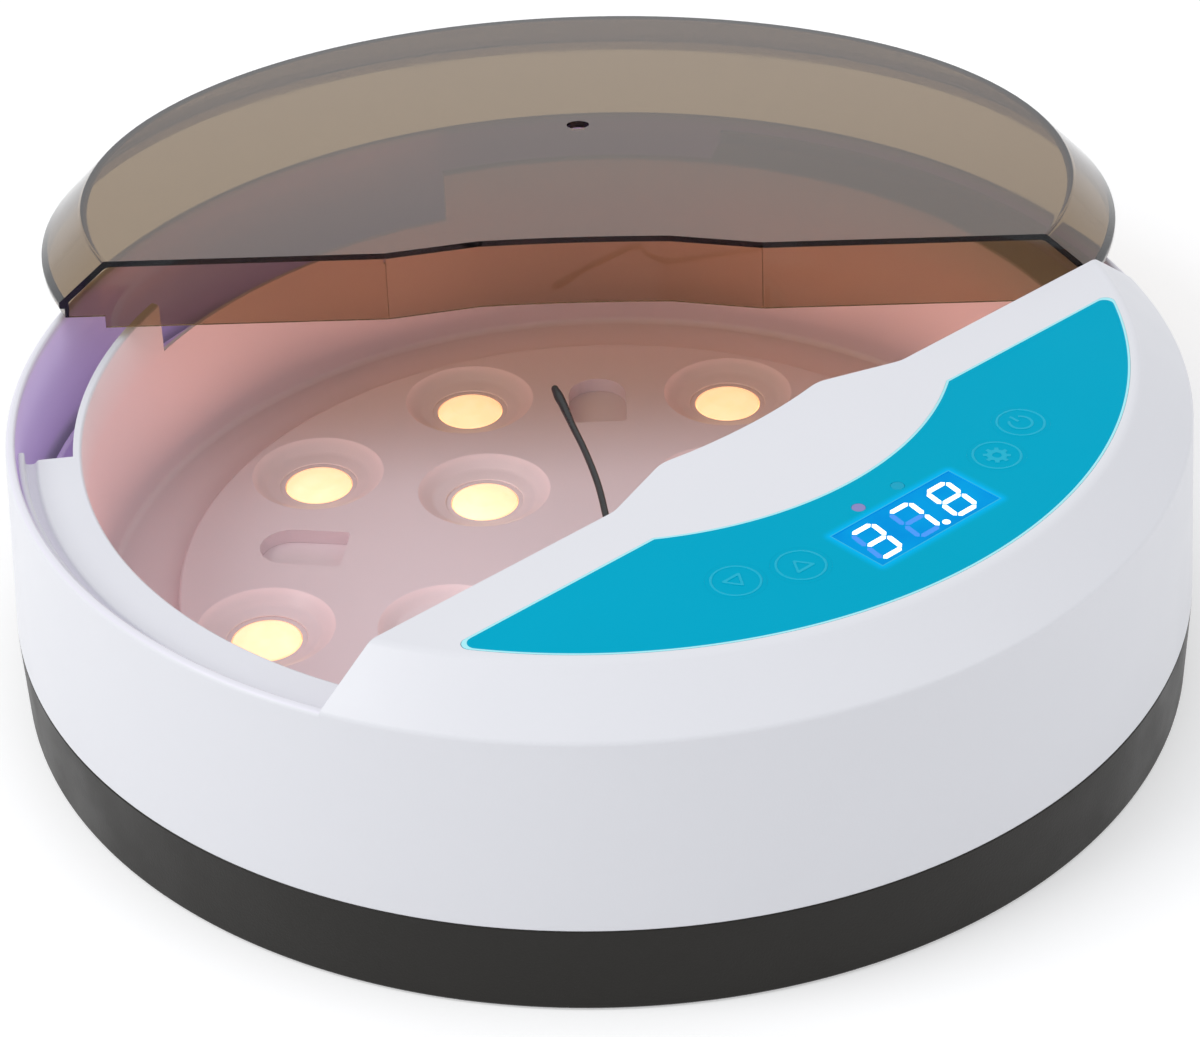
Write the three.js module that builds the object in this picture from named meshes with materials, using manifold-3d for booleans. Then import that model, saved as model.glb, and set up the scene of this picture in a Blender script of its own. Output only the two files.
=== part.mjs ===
// A round tabletop egg incubator: dark base pan, white drum with a control bridge across the front,
// a liner with the egg chamber and a water channel behind it, and a smoked lid set back on the rim.
// Millimetres, +Z up. The origin is the centre of the flat underside; the bridge faces -Y.
import * as THREE from "three";
import { mergeVertices } from "three/addons/utils/BufferGeometryUtils.js";
import Module from "manifold-3d";

const wasm = await Module();
wasm.setup();

// Driving dimensions.
const gap = 0.3; // between neighbouring pieces that don't touch face to face
const cut = 2; // overrun of a cutting tool past the face it cuts
const ringSteps = 72; // facets round the drum
const smallSteps = 24; // facets round a small turned piece

const rimR = 130; // outside of the drum at its rim
const bellySwell = 2.8; // the drum is this much wider where it meets the base
const footTaper = 0.4; // the base draws in this much down to the table
const bellyR = rimR + bellySwell;
const footR = bellyR - footTaper;
const baseH = 20.8;
const rimZ = 65;
const rimRound = 1.2;
const shellWall = 2.1;
const baseWall = 2.4;
const baseFloor = 2.8;
const footChamfer = 0.8;
const spigotH = 4;
const spigotWall = 2;

const bridgeRise = 10.5; // the bridge's flat top above the rim
const bridgeSlopeW = 12.5; // its chamfer, from the rim in to the flat top
const bridgeZ = rimZ + bridgeRise;
const bridgeR = rimR - bridgeSlopeW;
const bridgeBackY = -51.8; // straight back edge of the bridge
const bumpOuterX = 42; // the back edge swells out between these
const bumpInnerX = 23;
const bumpSwell = 6.5;
const bumpHollow = 2;
const bumpY = bridgeBackY + bumpSwell;
const bumpMidY = bumpY - bumpHollow;
const bridgeWall = 2.2;

const ringW = 16; // ledge, groove and walls together, between the egg chamber and the rim
const chamberR = rimR - ringW; // inside of the egg chamber
const linerWall = 1.9;
const chamberFloorZ = 14;
const linerFloor = 1.8;
const ledgeDrop = 5.1; // below the rim
const ledgeW = 9.9;
const ledgePlate = 1.8;
const ledgeZ = rimZ - ledgeDrop;
const ledgeR = chamberR + ledgeW;
const grooveDepth = 0.9;
const grooveZ = ledgeZ - grooveDepth; // floor of the groove between the ledge and the drum wall
const lipWall = 1.4;
const lipRise = 2.3; // how far the liner's outer lip stands above the ledge
const pocketZ = 24; // floor of the water channel's pocket
const pocketEndDeg = 1.2; // thickness of the pocket's end walls, as an angle
const pocketHalfDeg = 56.2; // the pocket reaches this far to each side of the back
const notchHalfDeg = 22.5; // opening from the water channel into the chamber
const notchDepth = 12.9;
const notchZ = ledgeZ - notchDepth;
const partitionStep = 0.2; // the wall in front of the eggs stands this far inside the bridge's edge
const partitionY = bridgeBackY - partitionStep;
const partitionWall = 2;

const troughH = 13;
const troughWall = 1.4;
const troughEndDeg = 0.8;
const troughNames = ["left", "back", "right"]; // loose trays end to end, each lifted out by itself
const troughGapDeg = 0.2;
const troughClearDeg = 1;

const trayClear = 17; // round the tray, where the chamber's floor shows
const trayR = chamberR - trayClear;
const trayH = 3.6;
const trayFrontClear = 4.5;
const trayFrontY = partitionY + trayFrontClear;
const seatTopR = 15.5;
const seatBottomR = 9.2;
const outerSeatR = 79;
const outerSeatDegs = [-7, 25, 72.5, 107.5, 155, 187];
const innerSeats = { radius: 42, degs: [8, 90, 172] };
const slotW = 14;
const slotL = 20;
const slotMidR = 70;
const slotDegs = [49, 131];
const middleHoleR = 8;

const lensR = 7.7;
const lensFlangeR = 9.5;
const lensFlangeH = 1.3;
const lensDome = 2.2;
const boardDrop = 4.8; // from the underside of the chamber's floor to that of the candling board
const boardT = 1.6;
const boardEdge = 1; // the board is this much smaller than the tray
const boardFrontClear = 7.5;
const boardZ = chamberFloorZ - linerFloor - boardDrop;
const boardR = trayR - boardEdge;
const boardFrontY = trayFrontY + boardFrontClear;
const emitterR = 2.5;
const emitterH = 1.2;
const standoffR = 4;
const standoffPlaceR = 62;
const standoffDegs = [45, 135, 225, 315];

const lidTopEdge = 0.9; // its flat top is this much wider than the bridge's
const lidRimShow = 1.4; // of the rim, outside the lid's band
const lidDropLess = 0.6; // its chamfer is this much lower than the bridge's
const lidTopR = bridgeR + lidTopEdge;
const lidR = rimR - lidRimShow; // outside of the band below its chamfer
const lidDrop = bridgeRise - lidDropLess;
const lidBand = 1.4; // the band stands on the drum's rim when the lid is on
const lidSkirt = 2.2; // below the band, inside the rim
const lidFrontH = 16.3; // depth of its front wall
const lidFrontClear = 1.4; // from its front wall to the bridge, when the lid is on
const lidFrontY = bridgeBackY + lidFrontClear;
const lidWall = 1.7;
const lidBumpSpread = 1; // its swell is this much wider at the wall, and narrower at its end
const lidBumpOuterX = bumpOuterX + lidBumpSpread;
const lidBumpInnerX = bumpInnerX - lidBumpSpread;
const lidBumpSwell = 5.8;
const lidBumpRise = 0.8;
const lidBumpY = lidFrontY + lidBumpSwell;
const lidBumpMidY = lidBumpY + lidBumpRise;
const lidFootInset = 6; // the front wall stops this far short of the egg chamber's width
const lidFootX = chamberR - lidFootInset; // beyond this it stops at the skirt's height
const lidRunGap = 0.4; // between the skirt and the inside of the rim
const lidVentR = 2.8;
const lidVentY = 31.8;
const lidPlaceShares = [0.40792, 0.50823]; // of the rim's radius, to the middle of the lid as it lies
const lidTopRise = 8.74; // middle of its top above the rim, as it lies
const lidTurnDeg = -42.27;
const lidLeanShare = -1.59246; // of the bridge's rise over the rim's radius, as a sine
const lidRollDeg = -0.46;

const filmT = 0.4; // membrane keypad film
const filmEdge = 1.7; // from the film to the bridge's chamfer
const filmBackEdge = 12.6; // from the film to the bridge's back edge
const filmInnerR = 77.4; // the curve of its inner edge
const filmR = bridgeR - filmEdge;
const filmFrontY = bridgeBackY - filmBackEdge;
const filmCornerR = 2;
const displayW = 34;
const displayD = 14;
const displayShift = 0.6;
const displayY = -(filmR + filmInnerR) / 2 + displayShift;
const windowT = 1.2;
const moduleRim = 2.2;
const moduleH = 6.2;
const keyR = 6.2;
const keyShift = 0.4;
const keyPlaceR = (filmR + filmInnerR) / 2 - keyShift;
const keyDegs = { key_down: -115.6, key_up: -107.3, key_settings: -72.7, key_power: -64.4 };
const keyTravel = 0.4;
const keyWellH = 0.7;
const keyStemR = 2;
const switchW = 6;
const switchH = 3.1;
const indicatorR = 1.4;
const indicatorX = 5.7;
const indicatorRise = 3.6; // from the display window
const indicatorY = displayY + displayD / 2 + indicatorRise;
const controlT = 1.6;
const controlBack = 22; // from the middle of the display to the control board's back edge
const controlEdge = 7.8; // the board's curve lies this far inside the film's
const controlInnerY = displayY + controlBack;
const controlR = filmR - controlEdge;
const controlX = 62;
const postR = 3;
const postX = 55;
const postBack = 14;
const postY = displayY + postBack;

const fanW = 40;
const fanT = 10;
const fanLift = 3; // above the chamber's floor
const fanRing = 1.5; // the frame's wall where the round opening comes nearest its sides
const fanMidZ = chamberFloorZ + fanLift + fanW / 2;
const fanR = fanW / 2 - fanRing;
const fanPlate = 1.4;
const strutW = 2.4;
const strutDegs = [30, 150, 270];
const motorR = 6.4;
const motorH = 4.6;
const hubR = 8.6;
const hubWall = 1.4;
const hubH = 6.6;
const bladeClear = 0.9;
const bladeR = fanR - bladeClear;
const bladeT = 1.1;
const bladeH = 4.8;
const bladeCount = 7;
const bladePitchDeg = 38;
const fanShaftR = 1;
const fanBoreR = 1.08;
const shaftH = 3.2;
const grilleR = fanW / 2;
const grilleT = 1.2;
const grilleSlot = 2.6;
const grilleBar = 1.8;
const grilleRing = 2;

const heaterW = 46;
const heaterD = 12;
const heaterH = 22;
const heaterPlaceShare = 0.6841; // of the way from the chamber's wall to the fan's back
const heaterY = -chamberR + (chamberR + partitionY - partitionWall - gap - fanT) * heaterPlaceShare;
const heaterMidZ = 36;
const finCount = 9;
const finT = 0.8;
const heaterCore = 5;
const bracketT = 1;
const bracketFoot = 8;

const powerX = -54;
const powerY = -71;
const powerW = 36;
const powerD = 26;
const powerT = 1.6;
const powerRise = 4;
const coilW = 18;
const coilD = 16;
const coilH = 15;
const coilEdge = 3;
const capR = 5;
const capH = 13;

const inletW = 19;
const inletH = 10;
const inletD = 16;
const inletLift = 2.8; // above the base's floor
const inletZ = baseFloor + inletLift + inletH / 2;
const inletProud = 0.4; // how far the inlet's face stands out of the base
const socketW = 14.5;
const socketH = 6.6;
const socketD = 11;
const pinR = 1.2;
const pinX = 4.3;
const pinL = 8;

const screwR = 1.5;
const screwHeadR = 3.1;
const screwHeadH = 2.2;
const screwHeadZ = 0.8;
const screwTopZ = 20;
const screwInset = 8.2; // from the drum's foot
const screwPlaceR = bellyR - screwInset;
const screwDegs = [25, 155, 220, 320];
const bossR = 5;
const bossTopZ = 13.5;
const postTopZ = 32;
const ribW = 4;
const pillarR = 4; // pillars of the base that carry the liner
const pillarInset = 9; // from the egg chamber's wall
const pillarPlaceR = chamberR - pillarInset;
const pillarDegs = [45, 135, 225, 315];

const padR = 9;
const padH = 1.6;
const padInset = 24.4; // from the foot's outside
const padPlaceR = footR - padInset;
const padDegs = [0, 90, 180, 270];

const probeR = 0.75;
const beadR = 1.1;
const beadL = 7.2;
const probePath = [
  [-36.3, -55.5, 55.6], [-36.3, -51, 55.6], [-34.6, -45.4, 55.8], [-32.2, -41, 56], [-29.7, -36.8, 56.3],
  [-27.3, -33.1, 56.6], [-24.9, -29.4, 56.9], [-22.5, -25.9, 57.2], [-19.3, -20.9, 57.6], [-16, -15.2, 57.9],
  [-12.3, -8.3, 58.2], [-8.6, -0.9, 58.4], [-5, 5.9, 58.6],
];
const beadEnd = [-1.6, 13.1, 59];
const grommetR = 2.4;
const grommetFlangeR = 3.6;
const grommetFlangeT = 1.2;

// Materials.
const finishes = {
  white: { color: 0xe4e4ec, roughness: 0.42, metalness: 0 },
  liner: { color: 0xdedde8, roughness: 0.45, metalness: 0 },
  dark: { color: 0x3a3836, roughness: 0.6, metalness: 0 },
  smoke: { color: 0x6b6152, roughness: 0.08, metalness: 0, transparent: true, opacity: 0.55 },
  teal: { color: 0x00a8c8, roughness: 0.35, metalness: 0 },
  black: { color: 0x161616, roughness: 0.5, metalness: 0 },
  rubber: { color: 0x1c1c1c, roughness: 0.85, metalness: 0 },
  board: { color: 0x1f5a34, roughness: 0.5, metalness: 0 },
  lens: { color: 0xffe2b8, roughness: 0.3, metalness: 0, transparent: true, opacity: 0.8 },
  blue: { color: 0x0a5cff, roughness: 0.2, metalness: 0 },
  steel: { color: 0xb5b7ba, roughness: 0.35, metalness: 1 },
  brass: { color: 0xc9a227, roughness: 0.35, metalness: 1 },
  indicator: { color: 0xe7a9c6, roughness: 0.3, metalness: 0 },
};

const incubator = new THREE.Group();

// Turns a three.js geometry into a solid that can be cut and joined.
function solid(geometry) {
  const bare = geometry.index ? geometry.toNonIndexed() : geometry.clone();
  for (const name of Object.keys(bare.attributes)) {
    if (name !== "position") bare.deleteAttribute(name);
  }
  const merged = mergeVertices(bare, 1e-4);
  return new wasm.Manifold(
    new wasm.Mesh({
      numProp: 3,
      vertProperties: new Float32Array(merged.attributes.position.array),
      triVerts: new Uint32Array(merged.index.array),
    }),
  );
}

function geometryOf(body) {
  const mesh = body.getMesh();
  const geometry = new THREE.BufferGeometry();
  geometry.setAttribute("position", new THREE.BufferAttribute(new Float32Array(mesh.vertProperties), 3));
  geometry.setIndex(new THREE.BufferAttribute(new Uint32Array(mesh.triVerts), 1));
  geometry.computeVertexNormals();
  return geometry;
}

function place(name, body, finish, group = incubator) {
  const mesh = new THREE.Mesh(geometryOf(body), new THREE.MeshStandardMaterial(finishes[finish]));
  mesh.name = name;
  group.add(mesh);
  return mesh;
}

const rad = THREE.MathUtils.degToRad;

// A point at a radius and an angle about the upright axis.
function polar(radius, deg) {
  return [radius * Math.cos(rad(deg)), radius * Math.sin(rad(deg))];
}

// A closed outline of [radius, height] points, anticlockwise, turned about the upright axis.
function turned(outline, steps = ringSteps) {
  const points = [...outline, outline[0]].map(([r, z]) => new THREE.Vector2(r, z));
  return solid(new THREE.LatheGeometry(points, steps).rotateX(Math.PI / 2));
}

function ring(innerR, outerR, lowZ, highZ, steps = ringSteps) {
  return turned([[innerR, lowZ], [outerR, lowZ], [outerR, highZ], [innerR, highZ]], steps);
}

function rod(radius, lowZ, highZ, x = 0, y = 0, steps = smallSteps) {
  const shape = new THREE.CylinderGeometry(radius, radius, highZ - lowZ, steps).rotateX(Math.PI / 2);
  return solid(shape.translate(x, y, (lowZ + highZ) / 2));
}

function block(lowX, highX, lowY, highY, lowZ, highZ) {
  const shape = new THREE.BoxGeometry(highX - lowX, highY - lowY, highZ - lowZ);
  return solid(shape.translate((lowX + highX) / 2, (lowY + highY) / 2, (lowZ + highZ) / 2));
}

function plate(shape, lowZ, highZ, curveSegments = 12) {
  const settings = { depth: highZ - lowZ, bevelEnabled: false, curveSegments };
  return solid(new THREE.ExtrudeGeometry(shape, settings).translate(0, 0, lowZ));
}

function polygon(points) {
  return new THREE.Shape(points.map(([x, y]) => new THREE.Vector2(x, y)));
}

function shifted(body, x, y, z = 0) {
  return body.translate([x, y, z]);
}

function joined(bodies) {
  return bodies.reduce((sum, body) => sum.add(body));
}

function without(body, tools) {
  return tools.reduce((rest, tool) => rest.subtract(tool), body);
}

// A wedge about the upright axis, from one angle to another, that reaches past the drum.
function wedge(fromDeg, toDeg, lowZ, highZ) {
  const reach = bellyR * 2;
  const count = Math.ceil((toDeg - fromDeg) / 30);
  const points = [[0, 0]];
  for (let i = 0; i <= count; i += 1) {
    points.push(polar(reach, fromDeg + ((toDeg - fromDeg) * i) / count));
  }
  return plate(polygon(points), lowZ, highZ);
}

// The swollen back edge of the bridge, moved back by an offset, as points from right to left.
function backEdge(straightY, outerX, innerX, swellY, midY, steps = 6) {
  const points = [[outerX, straightY]];
  for (let i = 0; i <= steps; i += 1) {
    const share = 1 - (2 * i) / steps;
    points.push([innerX * share, midY + (swellY - midY) * share * share]);
  }
  points.push([-outerX, straightY]);
  return points;
}

// Everything in front of the bridge's back edge, pulled in by an inset.
function bridgePlan(inset) {
  const reach = bellyR + cut;
  const edge = backEdge(bridgeBackY - inset, bumpOuterX, bumpInnerX, bumpY - inset, bumpMidY - inset);
  return polygon([[-reach, -reach], [reach, -reach], [reach, bridgeBackY - inset], ...edge,
    [-reach, bridgeBackY - inset]]);
}

const screwPlaces = screwDegs.map((deg) => polar(screwPlaceR, deg));
const padPlaces = padDegs.map((deg) => polar(padPlaceR, deg));
const seatPlaces = [
  ...outerSeatDegs.map((deg) => polar(outerSeatR, deg)),
  ...innerSeats.degs.map((deg) => polar(innerSeats.radius, deg)),
];
const wallR = rimR - shellWall; // inside of the drum at the rim
const bellyWallR = bellyR - shellWall; // inside of the drum at its foot
const inletFaceY = bellyR + inletProud;

// Dark lower pan: floor, wall, spigot for the drum, screw bosses, standoffs and the inlet's cut-out.
function basePan() {
  const wall = turned([
    [0, 0], [footR - footChamfer, 0], [footR, footChamfer], [bellyR, baseH],
    [bellyWallR - gap, baseH], [bellyWallR - gap, baseH + spigotH],
    [bellyWallR - gap - spigotWall, baseH + spigotH], [bellyWallR - gap - spigotWall, baseH - cut],
    [bellyR - baseWall, baseH - cut * 2], [footR - baseWall, baseFloor], [0, baseFloor],
  ]);
  const bosses = screwPlaces.map(([x, y]) => rod(bossR, baseFloor - gap, bossTopZ, x, y));
  const standoffs = standoffDegs.map((deg) => {
    const [x, y] = polar(standoffPlaceR, deg);
    return rod(standoffR, baseFloor - gap, boardZ, x, y, 16);
  });
  const pillars = pillarDegs.map((deg) => {
    const [x, y] = polar(pillarPlaceR, deg);
    return rod(pillarR, baseFloor - gap, chamberFloorZ - linerFloor, x, y, 16);
  });
  const notches = screwPlaces.map(([x, y]) => rod(bossR + gap, bossTopZ, baseH + spigotH + cut, x, y));
  const holes = screwPlaces.flatMap(([x, y]) => [
    rod(screwR + gap, -cut, baseH + cut, x, y, 16),
    rod(screwHeadR + gap, -cut, screwHeadZ + screwHeadH, x, y),
  ]);
  const recesses = padPlaces.map(([x, y]) => rod(padR + gap, -cut, padH, x, y));
  const inletHole = block(-inletW / 2 - gap, inletW / 2 + gap, bellyR - baseWall * 4, bellyR + cut,
    inletZ - inletH / 2 - gap, inletZ + inletH / 2 + gap);
  const body = joined([wall, ...bosses, ...standoffs, ...pillars]);
  return without(body, [...notches, ...holes, ...recesses, inletHole]);
}

// White drum wall with the hollow control bridge moulded across its front.
function outerShell() {
  const roundPoints = [];
  for (let i = 0; i <= 3; i += 1) {
    const turn = (Math.PI / 2) * (i / 3);
    const across = rimR - rimRound + rimRound * Math.cos(turn);
    roundPoints.push([across, rimZ - rimRound + rimRound * Math.sin(turn)]);
  }
  const wall = turned([[bellyWallR, baseH], [bellyR, baseH], ...roundPoints, [wallR, rimZ]]);
  const cover = turned([
    [0, ledgeZ + gap], [wallR + shellWall / 2, ledgeZ + gap], [rimR, rimZ - rimRound], [rimR, rimZ],
    [bridgeR, bridgeZ], [0, bridgeZ],
  ]).intersect(plate(bridgePlan(0), 0, bridgeZ + cut));
  const hollow = turned([
    [0, 0], [wallR, 0], [wallR, rimZ - bridgeWall / 2], [bridgeR - bridgeWall / 2, bridgeZ - bridgeWall],
    [0, bridgeZ - bridgeWall],
  ]).intersect(plate(bridgePlan(bridgeWall), -cut, bridgeZ + cut));
  const posts = screwPlaces.map(([x, y]) => rod(bossR - gap, bossTopZ, postTopZ, x, y));
  const rib = block(screwPlaceR, bellyR - gap * 2, -ribW / 2, ribW / 2, baseH + spigotH + gap, postTopZ);
  const ribs = screwDegs.map((deg) => rib.rotate([0, 0, deg]));
  const boardPosts = [postX, -postX].map((x) => (
    rod(postR, controlTopZ(), bridgeZ - bridgeWall / 2, x, postY)
  ));
  const screwHoles = screwPlaces.map(([x, y]) => rod(screwR + gap, 0, screwTopZ + gap, x, y, 16));
  const body = joined([wall, cover.subtract(hollow), ...posts, ...ribs, ...boardPosts]);
  const filmBed = plate(filmOutline(gap), bridgeZ - filmT, bridgeZ + cut, 24);
  const display = block(-displayW / 2 - gap, displayW / 2 + gap, displayY - displayD / 2 - gap,
    displayY + displayD / 2 + gap, ledgeZ, bridgeZ + cut);
  const wells = keyPlaces().flatMap(([x, y]) => [
    rod(keyR + gap, bridgeZ - filmT - keyWellH, bridgeZ + cut, x, y),
    rod(keyStemR + gap, rimZ, bridgeZ + cut, x, y, 16),
  ]);
  const indicators = [-indicatorX, indicatorX].map((x) => (
    rod(indicatorR + gap, rimZ, bridgeZ + cut, x, indicatorY, 16)
  ));
  return without(body, [filmBed, display, ...wells, ...indicators, ...screwHoles]);
}

// Lays an upright piece along +Y at a place.
function lying(body, x, y, z) {
  return body.rotate([-90, 0, 0]).translate([x, y, z]);
}

function controlTopZ() {
  return bridgeZ - filmT - windowT - gap - moduleH;
}

function keyPlaces() {
  return Object.values(keyDegs).map((deg) => polar(keyPlaceR, deg));
}

// The keypad film's outline, grown by an offset.
function filmOutline(grow) {
  const outer = filmR + grow;
  const corner = filmCornerR;
  const front = filmFrontY + grow;
  const cornerX = Math.sqrt((outer - corner) ** 2 - (front - corner) ** 2);
  const meet = Math.atan2(front - corner, cornerX);
  const inner = filmInnerR - grow;
  const kinkX = Math.sqrt(inner ** 2 - front ** 2);
  const kink = Math.atan2(front, kinkX);
  const shape = new THREE.Shape();
  shape.absarc(0, 0, outer, Math.PI - meet - 2 * Math.PI, meet, false);
  shape.absarc(cornerX, front - corner, corner, meet, Math.PI / 2, false);
  shape.lineTo(kinkX, front);
  shape.absarc(0, 0, inner, kink, -Math.PI - kink, true);
  shape.absarc(-cornerX, front - corner, corner, Math.PI / 2, Math.PI - meet, false);
  return shape;
}

// White liner: egg chamber, ledge and groove round it, water pocket at the back, wall before the eggs.
function liner() {
  const outerR = chamberR + linerWall;
  const lipR = wallR - gap;
  const chamber = joined([
    ring(chamberR, outerR, chamberFloorZ - linerFloor, ledgeZ),
    turned([[0, chamberFloorZ - linerFloor], [outerR, chamberFloorZ - linerFloor], [outerR, chamberFloorZ],
      [0, chamberFloorZ]]),
  ]);
  const ledge = turned([
    [outerR - linerWall / 2, ledgeZ - ledgePlate], [ledgeR - linerWall, ledgeZ - ledgePlate],
    [ledgeR - linerWall, grooveZ - ledgePlate], [lipR, grooveZ - ledgePlate],
    [lipR, ledgeZ + lipRise], [lipR - lipWall, ledgeZ + lipRise], [lipR - lipWall, grooveZ],
    [ledgeR, grooveZ], [ledgeR, ledgeZ], [outerR - linerWall / 2, ledgeZ],
  ]);
  const back = wedge(90 - pocketHalfDeg, 90 + pocketHalfDeg, 0, bridgeZ);
  const pocket = turned([
    [outerR - linerWall / 2, pocketZ - linerFloor], [lipR, pocketZ - linerFloor], [lipR, pocketZ],
    [outerR - linerWall / 2, pocketZ],
  ]).intersect(back);
  const highEnd = ring(outerR - linerWall / 2, ledgeR, pocketZ - linerFloor, ledgeZ);
  const lowEnd = ring(outerR - linerWall / 2, lipR, pocketZ - linerFloor, grooveZ - ledgePlate / 2);
  const ends = [90 - pocketHalfDeg - pocketEndDeg, 90 + pocketHalfDeg].map((deg) => (
    highEnd.add(lowEnd).intersect(wedge(deg, deg + pocketEndDeg, 0, rimZ))
  ));
  const insideBridge = plate(bridgePlan(-gap), ledgeZ - cut, bridgeZ);
  const partition = block(
    -chamberR, chamberR, partitionY - partitionWall, partitionY, chamberFloorZ - gap, ledgeZ,
  ).intersect(rod(chamberR + linerWall / 2, 0, rimZ, 0, 0, ringSteps));
  const notch = wedge(90 - notchHalfDeg, 90 + notchHalfDeg, notchZ, bridgeZ)
    .intersect(ring(chamberR - cut, outerR + cut, notchZ, rimZ));
  const lipCut = insideBridge.intersect(ring(lipR - lipWall - cut, lipR + cut, ledgeZ, bridgeZ));
  const fanHole = lying(rod(fanR, -cut, partitionWall + cut, 0, 0), 0, partitionY - partitionWall, fanMidZ);
  const probeHole = atProbeHole(rod(grommetR + gap, -partitionWall - cut, cut, 0, 0, 16));
  const lensHoles = seatPlaces.map(([x, y]) => rod(lensR + gap, 0, chamberFloorZ + cut, x, y));
  const body = joined([chamber, ledge.subtract(back), pocket, ...ends, partition]);
  return without(body, [notch, lipCut, fanHole, probeHole, ...lensHoles]);
}

// Shallow arc-shaped water tray. Its number is its place in the pocket, from the left.
function waterTrough(number) {
  const innerR = chamberR + linerWall + gap;
  const outerR = wallR - gap - gap;
  const topZ = pocketZ + troughH;
  const profile = turned([
    [innerR, pocketZ], [outerR, pocketZ], [outerR, topZ], [outerR - troughWall, topZ],
    [outerR - troughWall, pocketZ + troughWall], [innerR + troughWall, pocketZ + troughWall],
    [innerR + troughWall, topZ], [innerR, topZ],
  ]);
  const spread = pocketHalfDeg - troughClearDeg;
  const share = 2 * spread / troughNames.length;
  const high = 90 + spread - number * share - troughGapDeg / 2;
  const low = high - share + troughGapDeg;
  const ends = [low, high - troughEndDeg].map((deg) => (
    ring(innerR, outerR, pocketZ, topZ).intersect(wedge(deg, deg + troughEndDeg, 0, rimZ))
  ));
  return joined([profile.intersect(wedge(low, high, 0, rimZ)), ...ends]);
}

// Candling tray: a dished seat with a light hole for each egg, arched air slots between them.
function eggTray() {
  const topZ = chamberFloorZ + trayH;
  const disc = turned([[0, chamberFloorZ], [trayR, chamberFloorZ], [trayR, topZ - footChamfer],
    [trayR - footChamfer, topZ], [0, topZ]]);
  const front = block(-trayR - cut, trayR + cut, -trayR - cut, trayFrontY, 0, topZ + cut);
  const slope = (seatTopR - seatBottomR) / trayH;
  const seats = seatPlaces.map(([x, y]) => shifted(turned([
    [0, chamberFloorZ - cut], [seatBottomR - slope * cut, chamberFloorZ - cut],
    [seatTopR + slope * cut, topZ + cut], [0, topZ + cut],
  ], smallSteps), x, y));
  const slots = slotDegs.map((deg) => {
    const shape = new THREE.Shape();
    shape.moveTo(-slotL / 2, -slotW / 2);
    shape.lineTo(slotL / 2 - slotW / 2, -slotW / 2);
    shape.absarc(slotL / 2 - slotW / 2, 0, slotW / 2, -Math.PI / 2, Math.PI / 2, false);
    shape.lineTo(-slotL / 2, slotW / 2);
    return plate(shape, 0, topZ + cut, 8).translate([slotMidR, 0, 0]).rotate([0, 0, deg]);
  });
  const middle = rod(middleHoleR, 0, topZ + cut, 0, 0);
  return without(disc, [front, ...seats, ...slots, middle]);
}

function candlingLens() {
  const seatZ = chamberFloorZ - linerFloor;
  const domeZ = chamberFloorZ;
  return turned([
    [0, seatZ - lensFlangeH], [lensFlangeR, seatZ - lensFlangeH], [lensFlangeR, seatZ], [lensR, seatZ],
    [lensR, domeZ], [lensR * 0.6, domeZ + lensDome * 0.75], [0, domeZ + lensDome],
  ], 18);
}

// Round board under the chamber floor with one light emitter below each lens.
function candlingBoard() {
  const disc = rod(boardR, boardZ, boardZ + boardT, 0, 0, 48);
  const front = block(-boardR - cut, boardR + cut, -boardR - cut, boardFrontY, 0, rimZ);
  const emitters = seatPlaces.map(([x, y]) => (
    rod(emitterR, boardZ + boardT / 2, boardZ + boardT + emitterH, x, y, 12)
  ));
  return joined([disc.subtract(front), ...emitters]);
}

// The lid in its own frame, its flat top at zero height.
function lidPlan(inset) {
  const reach = lidR + cut;
  const swellY = lidBumpY + inset;
  const edge = backEdge(lidFrontY + inset, lidBumpOuterX, lidBumpInnerX, swellY, lidBumpMidY + inset);
  return polygon([[reach, lidFrontY + inset], [reach, reach], [-reach, reach], [-reach, lidFrontY + inset],
    ...edge.reverse()]);
}

function lidShell() {
  const bandZ = -lidDrop - lidBand;
  const skirtZ = bandZ - lidSkirt;
  const skirtR = wallR - lidRunGap;
  const outer = turned([
    [0, -lidFrontH], [skirtR, -lidFrontH], [skirtR, bandZ], [lidR, bandZ], [lidR, -lidDrop],
    [lidTopR, 0], [0, 0],
  ]).intersect(plate(lidPlan(0), -lidFrontH - cut, cut));
  const inner = turned([
    [0, -lidFrontH - cut], [skirtR - lidWall, -lidFrontH - cut], [skirtR - lidWall, -lidDrop - lidWall / 3],
    [lidTopR - lidWall / 2, -lidWall], [0, -lidWall],
  ]).intersect(plate(lidPlan(lidWall), -lidFrontH - cut, cut));
  const reach = lidR + cut;
  const frontWall = plate(lidPlan(0), -lidFrontH - cut, skirtZ)
    .subtract(plate(lidPlan(lidWall), -lidFrontH - cut * 2, skirtZ + cut));
  const frontWallMiddle = frontWall.intersect(
    block(-lidFootX, lidFootX, -reach, lidBumpMidY + cut, -lidFrontH - cut, skirtZ),
  );
  const below = block(-reach, reach, -reach, reach, -lidFrontH - cut, skirtZ).subtract(frontWallMiddle);
  const vent = rod(lidVentR, -lidWall - cut, cut, 0, lidVentY, 20);
  return without(outer, [inner, below, vent]);
}

// Keypad film with holes for the display window, the keys and the two indicators.
function keypadFilm() {
  const topZ = bridgeZ;
  const sheet = plate(filmOutline(0), bridgeZ - filmT, topZ, 24);
  const window = block(-displayW / 2 - gap, displayW / 2 + gap, displayY - displayD / 2 - gap,
    displayY + displayD / 2 + gap, 0, topZ + cut);
  const keys = keyPlaces().map(([x, y]) => rod(keyR + gap, 0, topZ + cut, x, y));
  const light = rod(indicatorR + gap, 0, topZ + cut, 0, indicatorY, 16);
  const lights = [-indicatorX, indicatorX].map((x) => shifted(light, x, 0));
  return without(sheet, [window, ...keys, ...lights]);
}

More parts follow.
